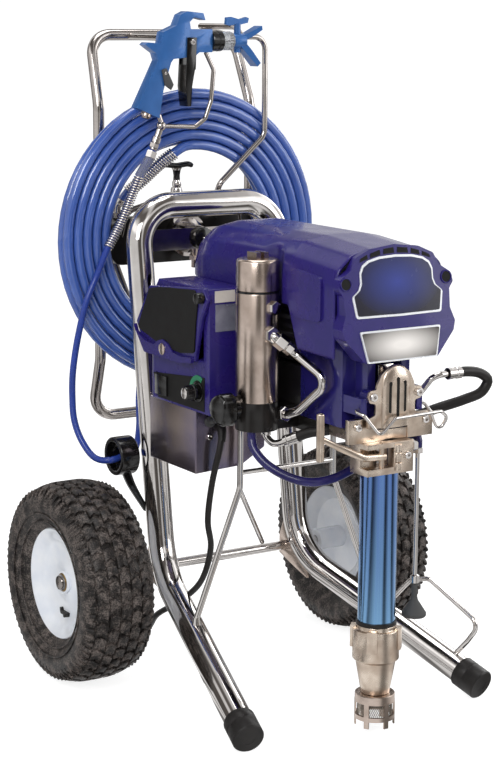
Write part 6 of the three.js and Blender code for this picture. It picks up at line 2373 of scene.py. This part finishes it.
@dataclass
class Filter:
    """The filter column with its valve and steel pipe."""

    at: tuple[float, float] = FILTER_AT
    radius: float = 33.0
    wall: float = 3.0
    low: float = 503.0
    top: float = 670.0
    cap: float = 673.0
    height: float = 48.0
    prime: tuple[float, float] = (-292.0, 493.0)

    def column(self) -> None:
        """Turn the bowl, the seal and the slotted cap."""
        x, y = self.at
        foot = (x, y, 0)
        bowl = rounded_profile(
            [
                (12, self.low), (self.radius, self.low), (self.radius, self.top),
                (self.radius - self.wall, self.top), (self.radius - self.wall, self.low + 5),
                (12, self.low + 5),
            ],
            1.0,
            True,
            2,
        )
        form = Form().lathe(bowl, foot, (0, 0, 1), 72)
        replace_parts(form.piece("steel_bowl", Body.CART, Finishes.STEEL, 30), "filter_bowl")
        inner, outer = self.radius - 2, self.radius - 0.6
        seal = [(inner, self.top - 0.1), (outer, self.top), (outer, self.cap), (inner, self.cap + 0.1)]
        Form().lathe(seal, foot, (0, 0, 1), 64).piece("bowl_seal", Body.CART, Finishes.GLOSS_BLACK)
        top = self.cap + self.height
        cap = [
            (0, self.top + 0.3), (self.radius - 2.4, self.top + 0.3), (self.radius - 2.4, self.cap),
            (self.radius - 1, self.cap), (self.radius, self.cap + 1), (self.radius, top - 4),
            (self.radius - 1.2, top - 1.6), (self.radius - 3.6, top), (20, top), (18, top + 0.4),
            (0, top + 0.4),
        ]
        head = Form().lathe(cap, foot, (0, 0, 1), 72)
        for start in (x - 11, x + 3):
            head.block((start, y - 13, top), (start + 8, y + 13, top + 10))
        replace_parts(head.piece("steel_cap", Body.CART, Finishes.STEEL, 32), "filter_cap")
        plug = Form().nut((x + 5, y - 31.5, 650), (0.15, -0.99, 0), 21, 11)
        plug.nut((x, y - self.radius + 1, 610), (0, -1, 0), 25, 14)
        plug.piece("bowl_plug", Body.CART, Finishes.CHROME)

    def valve(self) -> None:
        """Mould the manifold and the prime valve's lobed knob."""
        dress("filter_manifold", Body.CART, Finishes.BLACK_PAINT, 2.0, 3)
        y, z = self.prime
        plain = ((-144, 4), (-153, 4), (-153.2, 15), (-155, 18), (-163, 18))
        lobed = ((-164, 22), (-167, 25), (-184, 24.6), (-188, 22), (-189.6, 18))
        rings = []
        for steps, lobes in ((plain, 0.0), (lobed, 0.07)):
            for x, r in steps:
                swells = [(a, 1 + lobes * math.cos(3 * a)) for a in around(60)]
                ring = [Vector((x, y + math.cos(a) * r * s, z + math.sin(a) * r * s)) for a, s in swells]
                rings.append(ring)
        form = Form().skin(rings)
        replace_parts(form.piece("prime_dial", Body.PRIME, Finishes.GLOSS_BLACK, 35), "prime_knob")

    def pipe(self) -> None:
        """Bend the steel pipe between bowl and manifold, with its nuts."""
        x, y = self.at
        corners = [
            (x, y - self.radius - 0.3, 609), (x, y - self.radius - 13, 609), (-89, -360, 579),
            (-76, -427, 547), (-86, -360, 494), (-90, -336, 484), (-90, -320.4, 481),
        ]
        form = Form().tube(rounded(corners, [14, 20, 16, 24, 10], 8), 7, 28)
        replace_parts(form.piece("bent_pipe", Body.CART, Finishes.CHROME, 50), "steel_pipe")
        first, second = Vector(corners[1]), Vector(corners[2])
        way = (second - first).normalized()
        nuts = Form().nut(first + way * 6, way, 24, 17).nut(first + way * 25, way, 20, 11)
        last, before = Vector(corners[-1]), Vector(corners[-2])
        nuts.nut(last, (before - last).normalized(), 24, 14)
        nuts.piece("pipe_nuts", Body.CART, Finishes.CHROME)

    def build(self) -> None:
        """Build the filter."""
        self.column()
        self.valve()
        self.pipe()
        LOG.info("filter: bowl, cap, valve, pipe")


@dataclass
class Fittings:
    """Steel tubes, ferrules and the drain tube of the lines."""

    def build(self) -> None:
        """Build the fittings."""
        joint = Vector(OUTLET_JOINT)
        elbow = [(62.3, -430, 505), (80, -430, 505), (98, -449, 541), (112, -452, 545), joint]
        form = Form().tube(rounded(elbow, [14, 20, 12], 8), 5, 20)
        form.nut((63, -430, 505), (1, 0, 0), 18, 9)
        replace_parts(form.piece("outlet_bend", Body.CART, Finishes.CHROME, 50), "outlet_tube")
        sleeve = [(8.05, 0), (9.2, 0), (9.2, 6), (8.6, 7), (8.6, 15), (9.2, 16), (9.2, 24), (8.05, 24)]
        Form().lathe(sleeve, joint, (1, 0, 0), 32).piece("outlet_ferrule", Body.CART, Finishes.CHROME, 30)
        turn = [
            (-113, -312, 462), (-113, -312, 450), (-108, -325, 439), (-98, -342, 443.6),
            (-94, -347.5, 446.5),
        ]
        bend = Form().tube(smooth(turn, 3), 5.6, 28).nut((-113, -312, 459), (0, 0, -1), 19, 8)
        bend.piece("manifold_elbow", Body.CART, Finishes.CHROME, 50)
        start, after = Vector((-97, -343, 444.5)), Vector((-76, -374, 461))
        way = (after - start).normalized()
        Form().lathe(sleeve, start - way * 1, way, 32).piece(
            "manifold_ferrule", Body.CART, Finishes.CHROME, 30
        )
        x, y = DRAIN_AT
        stem = [(0, 225), (4.5, 225), (4.5, 223), (7, 223), (7, 234), (3.5, 236), (3.5, 436.4), (0, 436.4)]
        tube = Form().lathe(stem, (x, y, 0), (0, 0, 1), 32)
        tube.nut((x, y, 428), (0, 0, 1), 17, 8)
        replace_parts(tube.piece("drain_stem", Body.CART, Finishes.CHROME, 35), "drain_tube")
        cone = rounded_profile(
            [(0, 169), (18, 169), (19, 171.5), (19, 175), (6, 195), (4.8, 200), (4.6, 222), (0, 222)], 1.5,
            False, 3,
        )
        Form().lathe(cone, (x, y, 0), (0, 0, 1), 48).piece(
            "drain_cone", Body.CART, Finishes.BLACK_PLASTIC, 35
        )
        LOG.info("fittings: tubes, ferrules, drain tube")


def main() -> None:
    """Load the solids and dress them, part by part."""
    logging.basicConfig(level=logging.INFO, format="%(message)s")
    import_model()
    near = (Studio(), Cords(), Cart(), Wheel(-1), Wheel(1), Reel(), Gun())
    for part in (*near, Drive(), Shroud(), Pump(), Controls(), Filter(), Fittings()):
        part.build()


if __name__ == "__main__":
    main()
